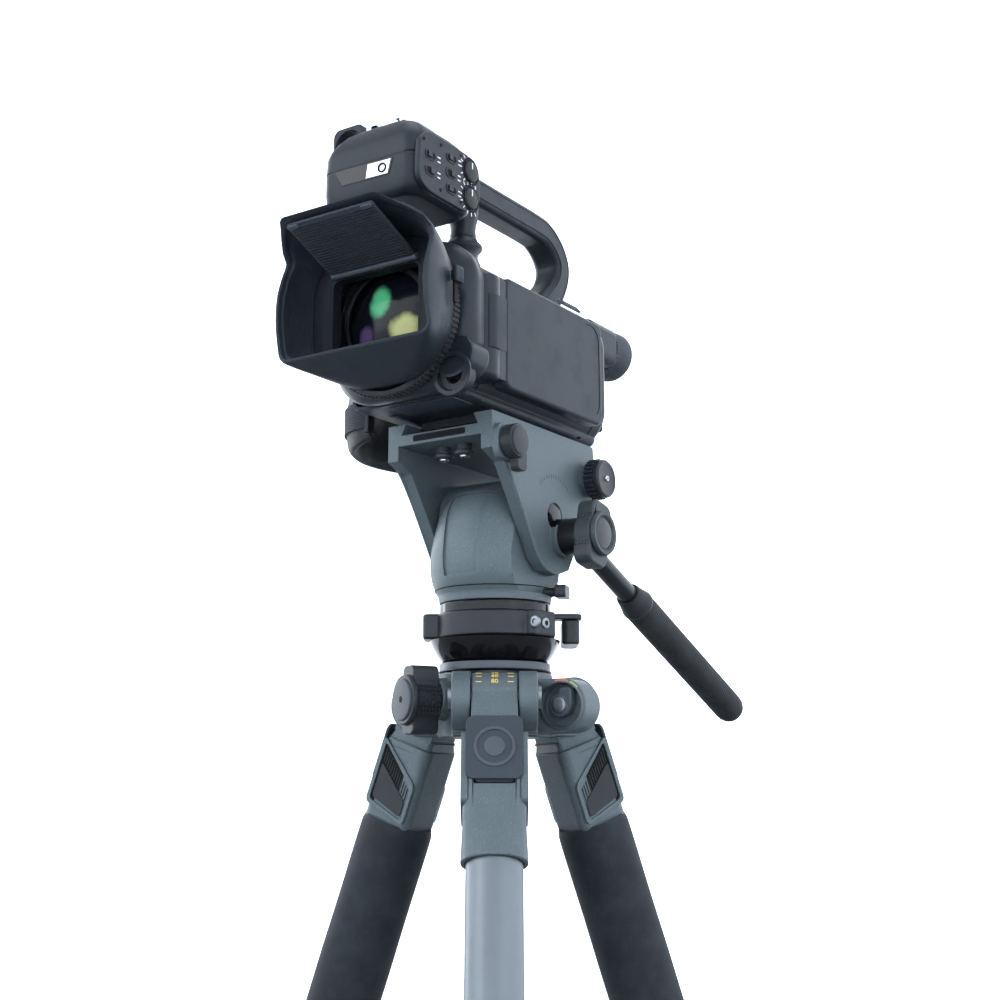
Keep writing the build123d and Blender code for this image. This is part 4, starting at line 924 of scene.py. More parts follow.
def dress_head_knobs():
    """Caps, teeth and studs of the head's three knobs."""
    disc = turn_to(HOME, (46.2, 43, 65), (1, 0, 0))
    turned("drag_knob_cap", [(0, 0.4), (8.2, 0.4), (9.2, 0.9), (10.2, 0.6), (10.6, -0.2), (0, -0.2)], "knob",
           "drag_knob", disc, 64)
    cap_screw("drag_knob_screw", 1.7, "drag_knob", disc, 0.1)
    tooth = brick((1.5, 1.6, 5.6), (10.9, 0, -5.6), 0.35)
    repeated("drag_knob_teeth", tooth, "knob", "drag_knob", disc, round_the_axis(DRAG_KNOB_TEETH))
    dial = turn_to(HOME, (44.9, -43, 70), (1, 0, 0))
    turned("plate_knob_cap", [(0, 0.9), (6.6, 0.9), (7.6, 0.5), (7.8, -0.2), (0, -0.2)], "knob", "plate_knob",
           dial, 56)
    hub = turn_to(HOME, (60.7, 14, 28), (1, 0, 0))
    turned("clamp_knob_rim", [(8.6, 0.2), (9.8, 1.4), (11.6, 1.5), (12.2, 0.4), (12.2, -0.8), (8.6, -0.8)],
           "powder_dark", "bar_knob", hub, 72)
    turned("clamp_knob_cap", [(0, 0.7), (7.6, 0.7), (8.5, 0.3), (8.5, -0.4), (0, -0.4)], "gloss_black",
           "bar_knob", hub, 64)
    stud = lump([(-0.85, 0, 0), (0, -0.85, 0), (0.85, 0, 0), (0, 0.85, 0), (0, 0, 0.7)],
                [(0, 1, 4), (1, 2, 4), (2, 3, 4), (3, 0, 4), (3, 2, 1, 0)])
    lean = hub @ Matrix.Rotation(math.radians(-12), 4, "Z")
    for side in (-1, 1):
        wall = turn_to(lean, (side * 9.95, -9.0, -10.4), (side, 0, 0), (0, 1, 0))
        repeated(f"clamp_knob_studs_{'ab'[side > 0]}", stud.copy(), "knob", "bar_knob", wall,
                 [(5, (1.9 * -side, 0, 0), (0, 0, 0)), (10, (0, 1.95, 0), (0, 0, 0))])


BAR_SLOPE = 24.0
GRIP_RINGS_START = 75.0
GRIP_RINGS_END = 203.0
GRIP_VALLEY = 8.75
GRIP_CREST = 9.3


def dress_pan_bar():
    """The bar and its ringed rubber grip."""
    coat("pan_bar_tube", "anodised")
    slope = math.radians(BAR_SLOPE)
    way = (0, math.cos(slope), -math.sin(slope))
    bar = turn_to(HOME, (43.5, 14, 28), way)
    rings = sizes().grip_rings
    profile = [(5.7, 62.0), (6.9, 62.0), (7.4, 63.0), (7.9, 66.5), (9.0, 71.5), (9.4, 74.0), (9.1, 74.8)]
    pitch = (GRIP_RINGS_END - GRIP_RINGS_START) / rings
    for ring in range(rings):
        start = GRIP_RINGS_START + ring * pitch
        profile += [(GRIP_VALLEY, start), (GRIP_CREST, start + pitch * 0.25),
                    (GRIP_CREST, start + pitch * 0.7), (GRIP_VALLEY, start + pitch * 0.95)]
    profile += [(9.0, 203.4), (9.0, 205.5), (8.2, 208.0), (6.2, 209.6), (3.2, 210.0), (0, 210.0)]
    profile += [(0, 203.3), (5.7, 203.3)]
    points = [[(max(r, 1e-4) * x, max(r, 1e-4) * y, h) for x, y in circle(1.0, 56)] for r, h in profile]
    made, faces = skin(points, "loop")
    solid("pan_bar_rubber", made, faces, "rubber", "pan_bar", bar, sharp=50,
          stands_for=("pan_bar_grip",), slot="rubber")
    turned("grip_band", [(9.15, 73.6), (9.65, 73.9), (9.65, 75.2), (9.15, 75.5)], "knob", "pan_bar", bar, 64)


# ------------------------------------------------------------------ camcorder
CUSTOM_DIAL_TEETH = 30
EYECUP_RIBS = 36


def camera_details():
    """The case, its dial, its underside and its seams."""
    soften("camera_body", "shell", 0.5)
    front_shell()
    coat("custom_dial", "knob")
    dial = turn_to(HOME, (37, -90.9, 95), (0, -1, 0))
    tooth = brick((0.7, 0.9, 3.6), (7.75, 0, -2.0), 0.15)
    repeated("custom_dial_teeth", tooth, "knob", "custom", dial, round_the_axis(CUSTOM_DIAL_TEETH))
    frame_plate("custom_dial_well", circle(11.4, 72), circle(8.9, 72), 1.0, 2.2, "shell_gloss", "camera",
                dial, 0.4)
    turned("custom_dial_face", [(0, -3.2), (4.6, -3.2), (4.6, -3.8), (0, -3.8)], "gloss_black", "custom",
           dial, 40)
    slab("underside_plate", oblong(21, 9, 1.5), 0, 0.7, "blue_label", "camera",
         turn_to(HOME, (4, -66, 89.3), (0, 0, -1), (0, 1, 0)), 0.2)
    for x, y in ((-24, -70), (30, -58), (31, 40), (-30, 40)):
        cap_screw(f"underside_screw_{x + 40}_{y + 80}", 1.6, "camera",
                  turn_to(HOME, (x, y, 89.9), (0, 0, -1), (0, 1, 0)), -0.6, "black")
    seam = [(x - 4.5, -61.5, z + 129) for x, z in oblong(40.65, 40.15, 22, 12)]
    beaded("case_front_seam", seam, 0.22, "gap", "camera", HOME, True)
    seam = [(x - 4.5, 52.0, z + 129) for x, z in oblong(40.55, 40.05, 22, 12)]
    beaded("case_rear_seam", seam, 0.22, "gap", "camera", HOME, True)
    right_side()
    rear_face()
    top_face()


SWELL_Z = LENS_Z + 0.6
SWELL_RADIUS = 39.0
SWELL_FRONT = -90.9
SWELL_LENGTH = 14.0
SWELL_STEPS = 12


def front_shell():
    """The polished swell between the focus ring and the case, with the dial's mound."""
    rings = []
    wide, tall, corner = 45.4, 39.6, 25.0
    for step in range(SWELL_STEPS + 1):
        share = step / SWELL_STEPS
        swell = math.sin(share * math.pi / 2) ** 0.8
        grow = 1 - (1 - share) ** 2.2
        lift = 2.6 * math.sin(math.pi * min(1.0, share * 1.15)) * (1 - 0.35 * share)
        depth = SWELL_FRONT + SWELL_LENGTH * share * (0.35 + 0.65 * swell)
        ring = []
        for ux, uz in ring_places():
            turn = math.atan2(uz, ux)
            round_x, round_z = SWELL_RADIUS * math.cos(turn), SWELL_RADIUS * math.sin(turn)
            box_x, box_z = stretch_corner(ux, wide, corner), stretch_corner(uz, tall, corner)
            x, z = round_x + (box_x - round_x) * grow, round_z + (box_z - round_z) * grow
            far = 1 + lift / math.hypot(x, z)
            ring.append((x * far, depth, SWELL_Z + z * far))
        rings.append(ring)
    for place, shape, depth in ((len(rings), rings[-1], -76.9), (0, rings[0], -90.5)):
        rings.insert(place, [(x * 0.9, depth, SWELL_Z + (z - SWELL_Z) * 0.9) for x, _, z in shape])
    points, faces = skin(rings, "loop")
    solid("front_swell", points, faces, "shell_gloss", "camera", sharp=44,
          stands_for=("lens_barrel",), slot="camera_plastic")
    axis = turn_to(HOME, (0, -91.2, LENS_Z), (0, -1, 0))
    turned("barrel_tube", [(33.8, -8.0), (36.4, -8.0), (36.4, 7.2), (33.8, 7.2)], "black", "camera", axis, 96)
    mound = smooth_path([(45.5, -3.0), (49.5, -9.5), (48.0, -17.0), (41.5, -22.4), (33.0, -23.0),
                         (25.0, -19.0), (19.0, -12.0), (24.0, -5.0), (35.0, -1.0), (45.5, -3.0)], 5)[:-1]
    face = turn_to(HOME, (0, -79.0, 115.0), (0, -1, 0))
    slab("dial_mound", [(x - 1.5, z + 2.0) for x, z in mound], -4.0, 12.0, "shell_gloss", "camera", face, 2.2)


def right_side():
    """The grip side: a card door, a vent and the zoom rocker's mound."""
    wall = turn_to(HOME, (-45.0, 0, 0), (-1, 0, 0))

    def on_wall(y, z):
        return wall @ Matrix.Translation(Vector((-y, z, 0)) * MM)

    slab("card_door", oblong(24, 13, 3), -0.3, 0.8, "shell", "camera", on_wall(22, 134), 0.4)
    slat = brick((12.0, 0.8, 0.9), rounding=0.2)
    repeated("side_vent", slat, "gap", "camera", on_wall(-42, 128), [(9, (0, 1.9, 0), (0, 0, 0))])
    rocker = [(x, y * 0.8) for x, y in oblong(13, 6, 5)]
    top = turn_to(HOME, (-28, -30, 168.6), (0, 0, 1), (0, 1, 0))
    slab("zoom_rocker_base", oblong(9, 20, 6), 0, 1.6, "shell_gloss", "camera", top, 0.7)
    slab("zoom_rocker", [(y, x) for x, y in rocker], 1.5, 4.0, "knob", "camera", top, 0.9)


def rear_face():
    """Battery, terminals and the record button at the back."""
    soften("battery_pack", "shell", 0.8)
    soften("record_button", "red", 0.4)
    back = turn_to(HOME, (-14, 86.2, 118), (0, 1, 0))
    slab("battery_inlay", oblong(14.5, 18, 2), -0.2, 0.35, "black", "battery", back, 0.25)
    rib = brick((20.0, 0.7, 0.8), rounding=0.2)
    rib.transform(Matrix.Translation(Vector((0, 9.0 * MM, 0.4 * MM))))
    repeated("battery_grip_ribs", rib, "shell", "battery", back, [(6, (0, 1.6, 0), (0, 0, 0))])
    ring = turn_to(HOME, (-28, 66.0, 151), (0, 1, 0))
    frame_plate("record_ring", circle(8.6, 56), circle(7.0, 56), -0.2, 0.6, "grey_trim", "camera", ring, 0.25)
    door = turn_to(HOME, (22, 66.0, 120), (0, 1, 0))
    slab("terminal_door", oblong(9, 21, 2), -0.3, 0.7, "shell", "camera", door, 0.4)
    slab("terminal_pull", oblong(2.2, 1.4, 1), 0.6, 1.2, "black", "camera",
         door @ Matrix.Translation(Vector((6 * MM, 0, 0))), 0.2)
    soften("viewfinder", "shell", 0.8)
    rings = [(11.1, 0.3), (12.6, 0.2), (13.4, 1.0), (13.7, 3.0), (14.8, 8.0), (15.3, 12.5), (15.45, 16.6),
             (15.1, 17.7), (14.1, 17.8), (13.5, 16.9), (13.0, 12.0), (11.9, 8.4), (11.1, 7.8)]
    turned("eyecup_soft", rings, "eyecup", "evf", turn_to(HOME, (12, 94, 159), (0, 1, 0)), 80,
           stands_for=("eyecup",), slot="rubber")
    turned("eyepiece_glass", [(0, 5.2), (4.0, 4.9), (8.2, 3.6), (8.2, 3.0), (0, 3.0)], "screen", "evf",
           turn_to(HOME, (12, 94, 159), (0, 1, 0)), 56)
    rib = brick((0.5, 1.3, 4.2), (13.75, 0, 3.4), 0.15)
    repeated("eyecup_ribs", rib, "eyecup", "evf", turn_to(HOME, (12, 94, 159), (0, 1, 0)),
             round_the_axis(EYECUP_RIBS))


def top_face():
    """Terminal strip and small covers behind the handle's foot."""
    strip = turn_to(HOME, (28.6, 33, 167.2), (0.62, 0, 0.78), (0, 1, 0))
    slab("terminal_strip", oblong(2.6, 10.5, 1), -0.4, 1.3, "grey_trim", "camera", strip, 0.3)
    pin = brick((3.0, 0.9, 0.6), (0, -8.0, 1.4), 0.15)
    repeated("terminal_strip_teeth", pin, "gap", "camera", strip, [(9, (0, 2.0, 0), (0, 0, 0))])
    slab("shoe_cover", oblong(8, 11, 2), -0.2, 0.7, "black", "camera",
         turn_to(HOME, (-16, 12, 169.0), (0, 0, 1), (0, 1, 0)), 0.3)


# ------------------------------------------------------------------ lens and hood
HOOD_TABLE = smooth_path([
    # depth, half width, low, high, upper radius, lower radius
    (-98.0, 42.0, 92.5, 168.5, 29.0, 33.0), (-105.0, 44.3, 95.3, 169.2, 26.0, 27.0),
    (-112.0, 46.5, 98.8, 169.9, 22.5, 20.0), (-119.0, 47.9, 102.2, 170.6, 19.5, 12.0),
    (-125.0, 48.5, 105.0, 171.2, 17.5, 6.0), (-130.0, 48.0, 106.0, 171.7, 16.5, 6.0),
    (-137.5, 43.5, 107.0, 172.4, 15.0, 6.0), (-143.5, 40.5, 108.0, 172.9, 13.0, 6.0),
    (-148.5, 38.6, 109.0, 173.3, 11.5, 6.0)], 6)

# height, depth of the rim
HOOD_CUT = ((176.0, -148.0), (173.0, -147.6), (172.3, -146.4), (171.2, -143.2), (168.5, -137.2),
            (165.5, -130.8), (162.6, -125.6), (160.2, -123.6), (156.5, -123.5), (150.0, -125.8),
            (141.0, -128.4), (133.0, -129.4), (125.0, -129.0), (116.0, -127.0), (110.0, -125.7),
            (104.0, -125.0), (85.0, -125.0))


def between(table, key):
    """The row of a table at this key, which falls down the first column."""
    if key >= table[0][0]:
        return table[0][1:]
    for above, under in zip(table, table[1:]):
        if key >= under[0]:
            share = (above[0] - key) / (above[0] - under[0])
            return tuple(a + (b - a) * share for a, b in zip(above[1:], under[1:]))
    return table[-1][1:]


def hood_front(z):
    """Where the hood's rim stands at this height."""
    return between(HOOD_CUT, z)[0]


def ring_places(corner=8, steps=10):
    """Points round a unit oblong with quarter-turn corners of half its size."""
    shape = oblong(1, 1, 0.5, corner)
    places = []
    for (ax, az), (bx, bz) in zip(shape, shape[1:] + shape[:1]):
        parts = steps if math.hypot(ax - bx, az - bz) > 0.5 else 1
        places += [(ax + (bx - ax) * k / parts, az + (bz - az) * k / parts) for k in range(parts)]
    return places


def section_points(y_of, inset):
    """One ring of hood points whose depth follows a rule of height."""
    ring = []
    for ux, uz in ring_places():
        y = y_of(LENS_Z)
        x = z = 0.0
        for _ in range(24):
            half, low, high, upper, lower = between(HOOD_TABLE, y)
            half, low, high = half - inset, low + inset, high - inset
            radius = max(3.0, (upper if uz > 0 else lower) - inset * 0.7)
            x = stretch_corner(ux, half, radius)
            z = (high + low) / 2 + stretch_corner(uz, (high - low) / 2, radius)
            y += (y_of(z) - y) * 0.6
        ring.append((x, y, z))
    return ring


def stretch_corner(unit, half, radius):
    """Maps a point of the unit oblong with corners of 0.5 to one with this radius."""
    flat = half - radius
    size = abs(unit)
    reach = flat * (size / 0.5) if size <= 0.5 else flat + (size - 0.5) / 0.5 * radius
    return math.copysign(reach, unit)


HOOD_REAR = -98.0
TRAP_REAR = -107.0
MASK_BACK = -106.8
HOOD_BORE = 36.0


def build_hood():
    """The petal hood with its light-trap ridges and the mask round the lens."""
    rings = []
    for share in (0.0, 0.03, 0.12, 0.25, 0.4, 0.55, 0.7, 0.82, 0.92, 0.98):
        inset = 1.2 if share == 0 else 0.0
        rings.append(section_points(
            lambda z, s=share: HOOD_REAR + (hood_front(z) - HOOD_REAR) * s, inset))
    for reach, inset in ((0.2, 0.15), (0.7, 0.7), (0.7, 1.5), (0.2, 2.1)):
        rings.append(section_points(lambda z, r=reach: hood_front(z) - r, inset))
    ridges = sizes().hood_ridges
    for ridge in range(ridges):
        for part, inset in ((0.05, 2.2), (0.35, 3.6), (0.65, 3.6), (0.95, 2.2)):
            share = 1 - (0.10 + 0.88 * (ridge + part) / ridges)
            rings.append(section_points(
                lambda z, s=share: TRAP_REAR + (hood_front(z) - TRAP_REAR) * s, inset))
    rings.append(section_points(lambda z: MASK_BACK, 2.4))
    rear = section_points(lambda z: HOOD_REAR, 3.0)
    inner = []
    for x, y, z in rear:
        turn = math.atan2(z - LENS_Z, x)
        inner.append((HOOD_BORE * math.cos(turn), HOOD_REAR + 0.1, LENS_Z + HOOD_BORE * math.sin(turn)))
    points, faces = skin(rings, "open")
    solid("hood_shell", points, faces, "hood", "camera", sharp=42,
          stands_for=("lens_hood",), slot="camera_plastic")
    points, faces = skin([inner, section_points(lambda z: HOOD_REAR, 1.2)], "open")
    solid("hood_back", points, faces, "hood", "camera")
    window = section_window(27.6, 110.0, 151.0, 4.0)
    outer = section_points(lambda z: MASK_BACK, 2.3)
    mask = [outer]
    for share, rise in ((0.45, 0.0), (0.5, 0.7), (0.86, 0.7), (0.93, 1.6)):
        mask.append(scaled_ring(outer, window, share, MASK_BACK - rise))
    mask += [at_depth(window, MASK_BACK - 1.6),
             at_depth(section_window(27.2, 110.4, 150.6, 3.6), MASK_BACK + 4.4),
             at_depth(section_window(30.5, 107.0, 153.5, 4.0), MASK_BACK + 4.4)]
    points, faces = skin(mask, "open")
    solid("hood_mask", points, faces, "trap", "camera", sharp=42)


def section_window(half, low, high, radius):
    """The mask's window with as many points as a hood ring."""
    middle, tall = (low + high) / 2, (high - low) / 2
    return [(stretch_corner(ux, half, radius), 0.0, middle + stretch_corner(uz, tall, radius))
            for ux, uz in ring_places()]


def at_depth(ring, y):
    """The ring moved to one depth."""
    return [(x, y, z) for x, _, z in ring]


def scaled_ring(outer, inner, share, y):
    """A ring part of the way from the outer one to the inner one."""
    return [(a[0] + (b[0] - a[0]) * share, y, a[2] + (b[2] - a[2]) * share) for a, b in zip(outer, inner)]


def dress_lens():
    """The hood, the focus ring, the glass and the barrier flap with its lever."""
    build_hood()
    axis = turn_to(HOME, (0, -91.2, LENS_Z), (0, -1, 0))
    band = [(38.2, 0.1), (40.4, 0.1), (40.9, 0.6), (40.9, 5.9), (40.4, 6.4), (38.2, 6.4)]
    turned("focus_ring_body", band, "rubber", "focus", axis, 120, stands_for=("focus_ring",), slot="rubber")
    tooth = brick((1.0, 1.5, 5.0), (41.1, 0, 3.25), 0.25)
    teeth = sizes().ring_teeth
    repeated("focus_ring_teeth", tooth, "rubber", "focus", axis, round_the_axis(teeth))
    coat("front_lens", "glass")
    rings = [(27.3, 0.2), (27.4, 5.2), (28.0, 6.0), (28.6, 5.4), (29.1, 6.6), (29.6, 6.0), (30.2, 7.4),
             (31.4, 7.6), (33.4, 7.5), (33.6, 0.4)]
    turned("lens_retaining_rings", [(r, h + 0.9) for r, h in rings], "gloss_black", "camera", axis, 96,
           sharp=20)
    turned("lens_name_ring", [(24.6, 8.2), (27.2, 7.2), (27.2, 6.6), (24.6, 7.6)], "black", "camera",
           axis, 96)
    flap = flap_frame()
    slab("flap_plate", oblong(27.4, 19.0, 1.5), -0.8, 0.8, "flap", "flap",
         flap @ Matrix.Translation(Vector((0, 20.8, 0)) * MM), 0.3, stands_for=("barrier_flap",),
         slot="camera_plastic")
    ribs = sizes().flap_ribs
    rib = brick((52.0, 0.85, 0.8), (0, 3.6, 1.1), 0.2)
    repeated("flap_ribs", rib, "hood", "flap", flap, [(ribs, (0, 34.0 / (ribs - 1), 0), (0, 0, 0))])
    turned("flap_hinge_bar", [(0, -27.4), (1.7, -27.4), (1.8, -26.9), (1.8, 26.9), (1.7, 27.4), (0, 27.4)],
           "grey_trim", "flap", turn_to(HOME, (0, -109.4, 153.2), (1, 0, 0)), 28)
    for x in (-23.4, 23.4):
        slab(f"flap_pad_{'left' if x > 0 else 'right'}", oblong(3.4, 1.1, 1), 0.8, 1.8, "grey_trim", "flap",
             flap @ Matrix.Translation(Vector((x, 38.6, 0)) * MM), 0.3)
    soften("barrier_lever", "knob", 0.3)
    wall = turn_to(HOME, (47.3, -103.5, 136), (1, 0, 0))
    slab("barrier_slot", oblong(1.5, 9.6, 1.2), -1.2, 0.1, "gap", "camera", wall, 0.1)
    rib = brick((0.5, 6.0, 0.6), (-2.0, 5.0, 2.5), 0.12)
    repeated("barrier_lever_ribs", rib, "grey_trim", "side_lever", wall, [(5, (1.0, 0, 0), (0, 0, 0))])


def flap_frame():
    """The flap's frame: y along it from the hinge, z out of its lower face."""
    rise = math.radians(24)
    along = Vector((0, -math.cos(rise), math.sin(rise)))
    across = Vector((1, 0, 0))
    below = across.cross(along)
    if below.z > 0:
        across = -across
        below = across.cross(along)
    turn = Matrix((across, along, below)).transposed().to_4x4()
    return HOME @ Matrix.Translation(Vector((0, -109.4, 153.2)) * MM) @ turn


# ------------------------------------------------------------------ screen
def dress_screen():
    """The screen panel, its latch end, its hinge and its keys."""
    soften("lcd_panel", "shell", 0.9)
    soften("lcd_hinge_block", "shell_gloss", 0.5)
    path = [(38.5 + 8.75 * math.cos(t), -67.5 + 8.75 * math.sin(t)) for t in
            (math.radians(a) for a in (-38, -30, -22, -14, -7, 0))]
    path += [(47.25, -64.0), (47.1, -59.4)]
    outer = [(x + 0.5 * (x - 38.5) / 8.75, y) for x, y in path]
    rings = [[(x, y, z) for x, y in path] + [(x, y, z) for x, y in reversed(outer)] for z in (112.5, 141.0)]
    points, faces = skin(rings)
    solid("screen_latch_panel", points, faces, "shell", "lcd", HOME, 0.3)
    block("hinge_cover", (38.2, -67.0, 98.0), (45.3, -56.7, 152.0), "shell_gloss", "lcd", 0.8)
    face = turn_to(HOME, (37.6, -7.5, 125), (-1, 0, 0))
    slab("screen_glass", oblong(33.6, 19.6, 1), -0.7, -0.1, "screen", "lcd", face, 0.1)
    line = [(45.72, y, z) for y, z in smooth_path(
        [(24.0, 151.0), (32.0, 151.0), (37.0, 146.5), (38.0, 138.0), (38.0, 108.0), (35.0, 101.0)], 8)]
    beaded("screen_back_line", line, 0.16, "gap", "lcd")
    for key, z in enumerate((108, 118, 128, 138)):
        slab(f"screen_key_{key}", circle(2.1, 28), 0, 0.5, "knob", "lcd",
             turn_to(HOME, (37.6, 35.5, z), (-1, 0, 0)), 0.15)


# ------------------------------------------------------------------ handle
def sweep(stations, half_w, radius, corner=6):
    """Rings of rounded rectangles along stations of (y, z, depth) in the x = 0 plane."""
    rings = []
    for i, (y, z, deep) in enumerate(stations):
        way = way_along(stations, i)
        up = Vector((-way.y, way.x))
        rings.append([(x, y + up.x * h, z + up.y * h) for x, h in oblong(half_w, deep / 2, radius, corner)])
    return rings


# depth, height, thickness of the bow from its front to its rear foot
HANDLE_LINE = ((-66, 222, 16), (-40, 222, 16), (0, 222, 16), (34, 222, 16), (46, 220.5, 16),
               (56, 214.5, 15.5), (61.8, 206, 15), (61.5, 197.5, 15), (57, 188.5, 15.5), (50, 180, 18),
               (44.5, 174, 21), (40, 168.8, 26))


SCREW_FLUTES = 40


def dress_handle():
    """The handle's bow and pillar, then what its front block carries."""
    stations = smooth_path(HANDLE_LINE, 5)
    points, faces = skin(sweep(stations, 9.0, 4.2))
    solid("handle_bow", points, faces, "shell", "camera", sharp=50,
          stands_for=("carry_handle",), slot="camera_plastic")
    for side, label in ((-1, "right"), (1, "left")):
        for drop, kind in ((4.2, "high"), (-4.6, "low")):
            path = []
            for i, (y, z, deep) in enumerate(stations[4:-2], 4):
                way = way_along(stations, i)
                share = drop * deep / 16
                path.append((side * 8.95, y - way.y * share, z + way.x * share))
            beaded(f"handle_ridge_{label}_{kind}", path, 0.42, "shell", "camera")
    slab("handle_foot", oblong(11, 13, 4), 169.0, 175.2, "shell", "camera",
         HOME @ Matrix.Translation(Vector((0, -32, 0)) * MM), 1.2)
    neck = [(0, 175), (3.5, 175), (3.5, 193.3), (7.0, 193.4), (7.4, 194.6), (7.0, 197.5), (7.3, 201),
            (8.4, 205.5), (8.9, 209), (9.0, 215.5), (0, 215.5)]
    pillar = HOME @ Matrix.Translation(Vector((0, -32, 0)) * MM)
    turned("handle_pillar", neck, "shell_gloss", "camera", pillar, 64)
    waist = [(3.56, 175.7), (8.8, 175.7), (9.6, 176.6), (9.7, 178.2), (8.7, 180.4), (8.3, 182.6),
             (9.0, 184.8), (10.3, 186.2), (10.6, 187.8), (10.2, 189.4), (8.6, 191.0), (7.9, 192.6),
             (3.56, 193.0)]
    turned("handle_screw_waisted", waist, "shell_gloss", "handle_screw", pillar, 72,
           stands_for=("handle_clamp_screw",), slot="black_plastic")
    flute = brick((0.5, 0.9, 2.6), (10.4, 0, 187.8), 0.15)
    repeated("handle_screw_flutes", flute, "shell", "handle_screw", pillar, round_the_axis(SCREW_FLUTES))
    front_block()
    audio_panel()
    mic_clamp_and_shoe()


def front_block():
    """The rounded block at the front of the handle, with its lamp window."""
    # height, half width, half depth, corner radius
    levels = ((186.0, 25.5, 21.0, 9), (187.2, 28.6, 24.0, 9), (190.0, 30.6, 26.0, 8),
              (196.0, 31.0, 26.5, 7.5), (206.0, 31.0, 26.5, 7.5), (206.4, 30.5, 26.1, 7.5),
              (207.2, 30.5, 26.1, 7.5), (207.6, 31.0, 26.5, 7.5), (216.0, 30.8, 26.2, 8),
              (220.0, 29.6, 25.0, 8), (224.0, 27.2, 22.8, 8), (227.6, 23.6, 20.4, 8),
              (230.0, 19.4, 17.6, 8), (231.0, 15.5, 14.6, 8))
    rings = [[(x, y - 90.5, z) for x, y in oblong(w, d, r, 8)] for z, w, d, r in levels]
    points, faces = skin(rings)
    solid("handle_block", points, faces, "shell", "camera", sharp=50,
          stands_for=("handle_front_block",), slot="camera_plastic")
    face = turn_to(HOME, (-1.0, -117.0, 201.0), (0, -1, 0))
    window = [(-14.6, -3.2), (15.8, -4.0), (18.2, 4.6), (-20.4, 5.6)]
    slab("remote_window", window, -0.4, 0.35, "smoke", "camera", face, 0.25)
    slab("lamp_window", [(1.0, -3.0), (15.0, -3.4), (17.0, 4.0), (2.2, 4.4)], 0.25, 0.6, "lamp", "camera",
         face, 0.15)
    ring = face @ Matrix.Translation(Vector((11.6, 0.3, 0)) * MM)
    frame_plate("lamp_ring", circle(2.7, 40), circle(1.9, 40), 0.5, 1.0, "gap", "camera", ring, 0.12)
    turned("lamp_lens", [(0, 0.95), (1.1, 0.85), (1.9, 0.6), (1.9, 0.4), (0, 0.4)], "lamp", "camera",
           ring, 40)


# depth and height of each piece on the side panel
SWITCH_PLACES = ((-107.5, 206), (-107.5, 197.5), (-89.5, 211), (-90, 202.5), (-89.5, 194))
PANEL_SCREW_PLACES = ((-113.0, 213.0), (-98.5, 215.0), (-98.5, 190.5), (-81, 216.0), (-81, 190.0))
GAIN_DIAL_TEETH = 24


def audio_panel():
    """The rounded side panel: five slide switches, two dials and their tick marks."""
    edge = [(-116, 212.5), (-117, 200), (-116, 191.5), (-108, 187), (-90, 186.4), (-75, 187), (-65.5, 194),
            (-63.5, 205), (-66.5, 215.5), (-74, 218.4), (-95, 218.8), (-109, 218.2)]
    outline = smooth_path(edge + edge[:1], 5)[:-1]
    wall = turn_to(HOME, (33.6, 0, 0), (1, 0, 0))
    slab("audio_panel", outline, -3.0, 0.0, "shell", "camera", wall, 0.9)
    for number, (y, z) in enumerate(SWITCH_PLACES):
        here = wall @ Matrix.Translation(Vector((y, z, 0)) * MM)
        frame_plate(f"switch_recess_{number}", oblong(4.6, 2.7, 2.7, 10), oblong(3.7, 1.8, 1.8, 10),
                    -0.4, 0.35, "black", "camera", here, 0.12)
        slab(f"switch_floor_{number}", oblong(3.8, 1.9, 1.9, 10), -0.2, 0.08, "gap", "camera", here, 0.05)
        nub = here @ Matrix.Translation(Vector(((-1.1, 1.1)[number % 2], 0, 0)) * MM)
        slab(f"switch_nub_{number}", oblong(1.5, 1.4, 0.5), -0.1, 1.1, "knob", "camera", nub, 0.25)
        tick = brick((2.4, 0.6, 0.12), (7.2, -1.2, 0.05))
        repeated(f"switch_ticks_{number}", tick, "white", "camera", here, [(2, (0, 2.4, 0), (0, 0, 0))])
    for name, z in (("upper", 210.0), ("lower", 195.0)):
        here = wall @ Matrix.Translation(Vector((-72.5, z, 0)) * MM)
        cap = [(0, 1.2), (4.8, 1.2), (5.5, 0.8), (5.9, 0.1), (5.9, -0.8), (0, -0.8)]
        turned(f"gain_dial_cap_{name}", cap, "black", f"gain_{name}", here, 56,
               stands_for=(f"gain_dial_{name}",), slot="black_plastic")
        tooth = brick((0.6, 0.7, 1.0), (5.8, 0, 0.45), 0.12)
        repeated(f"gain_dial_teeth_{name}", tooth, "black", f"gain_{name}", here,
                 round_the_axis(GAIN_DIAL_TEETH))
        line = [(-0.35, 1.2), (0.35, 1.2), (0.35, 4.6), (-0.35, 4.6)]
        slab(f"gain_dial_line_{name}", line, 1.1, 1.35, "white", f"gain_{name}", here, 0.05)
        frame_plate(f"gain_dial_well_{name}", circle(7.3, 56), circle(6.5, 56), -0.3, 0.3, "gap", "camera",
                    here, 0.1)
        tick = brick((1.9, 0.5, 0.12), (8.6, 0, 0.05))
        tick.transform(Matrix.Rotation(math.radians(-60), 4, "Z"))
        repeated(f"gain_ticks_{name}", tick, "white", "camera", here, [(11, (0, 0, 0), (0, 0, -0.42))])
    for number, (y, z) in enumerate(PANEL_SCREW_PLACES):
        cap_screw(f"panel_screw_{number}", 1.1, "camera", wall @ Matrix.Translation(Vector((y, z, 0)) * MM),
                  -0.8, "black")


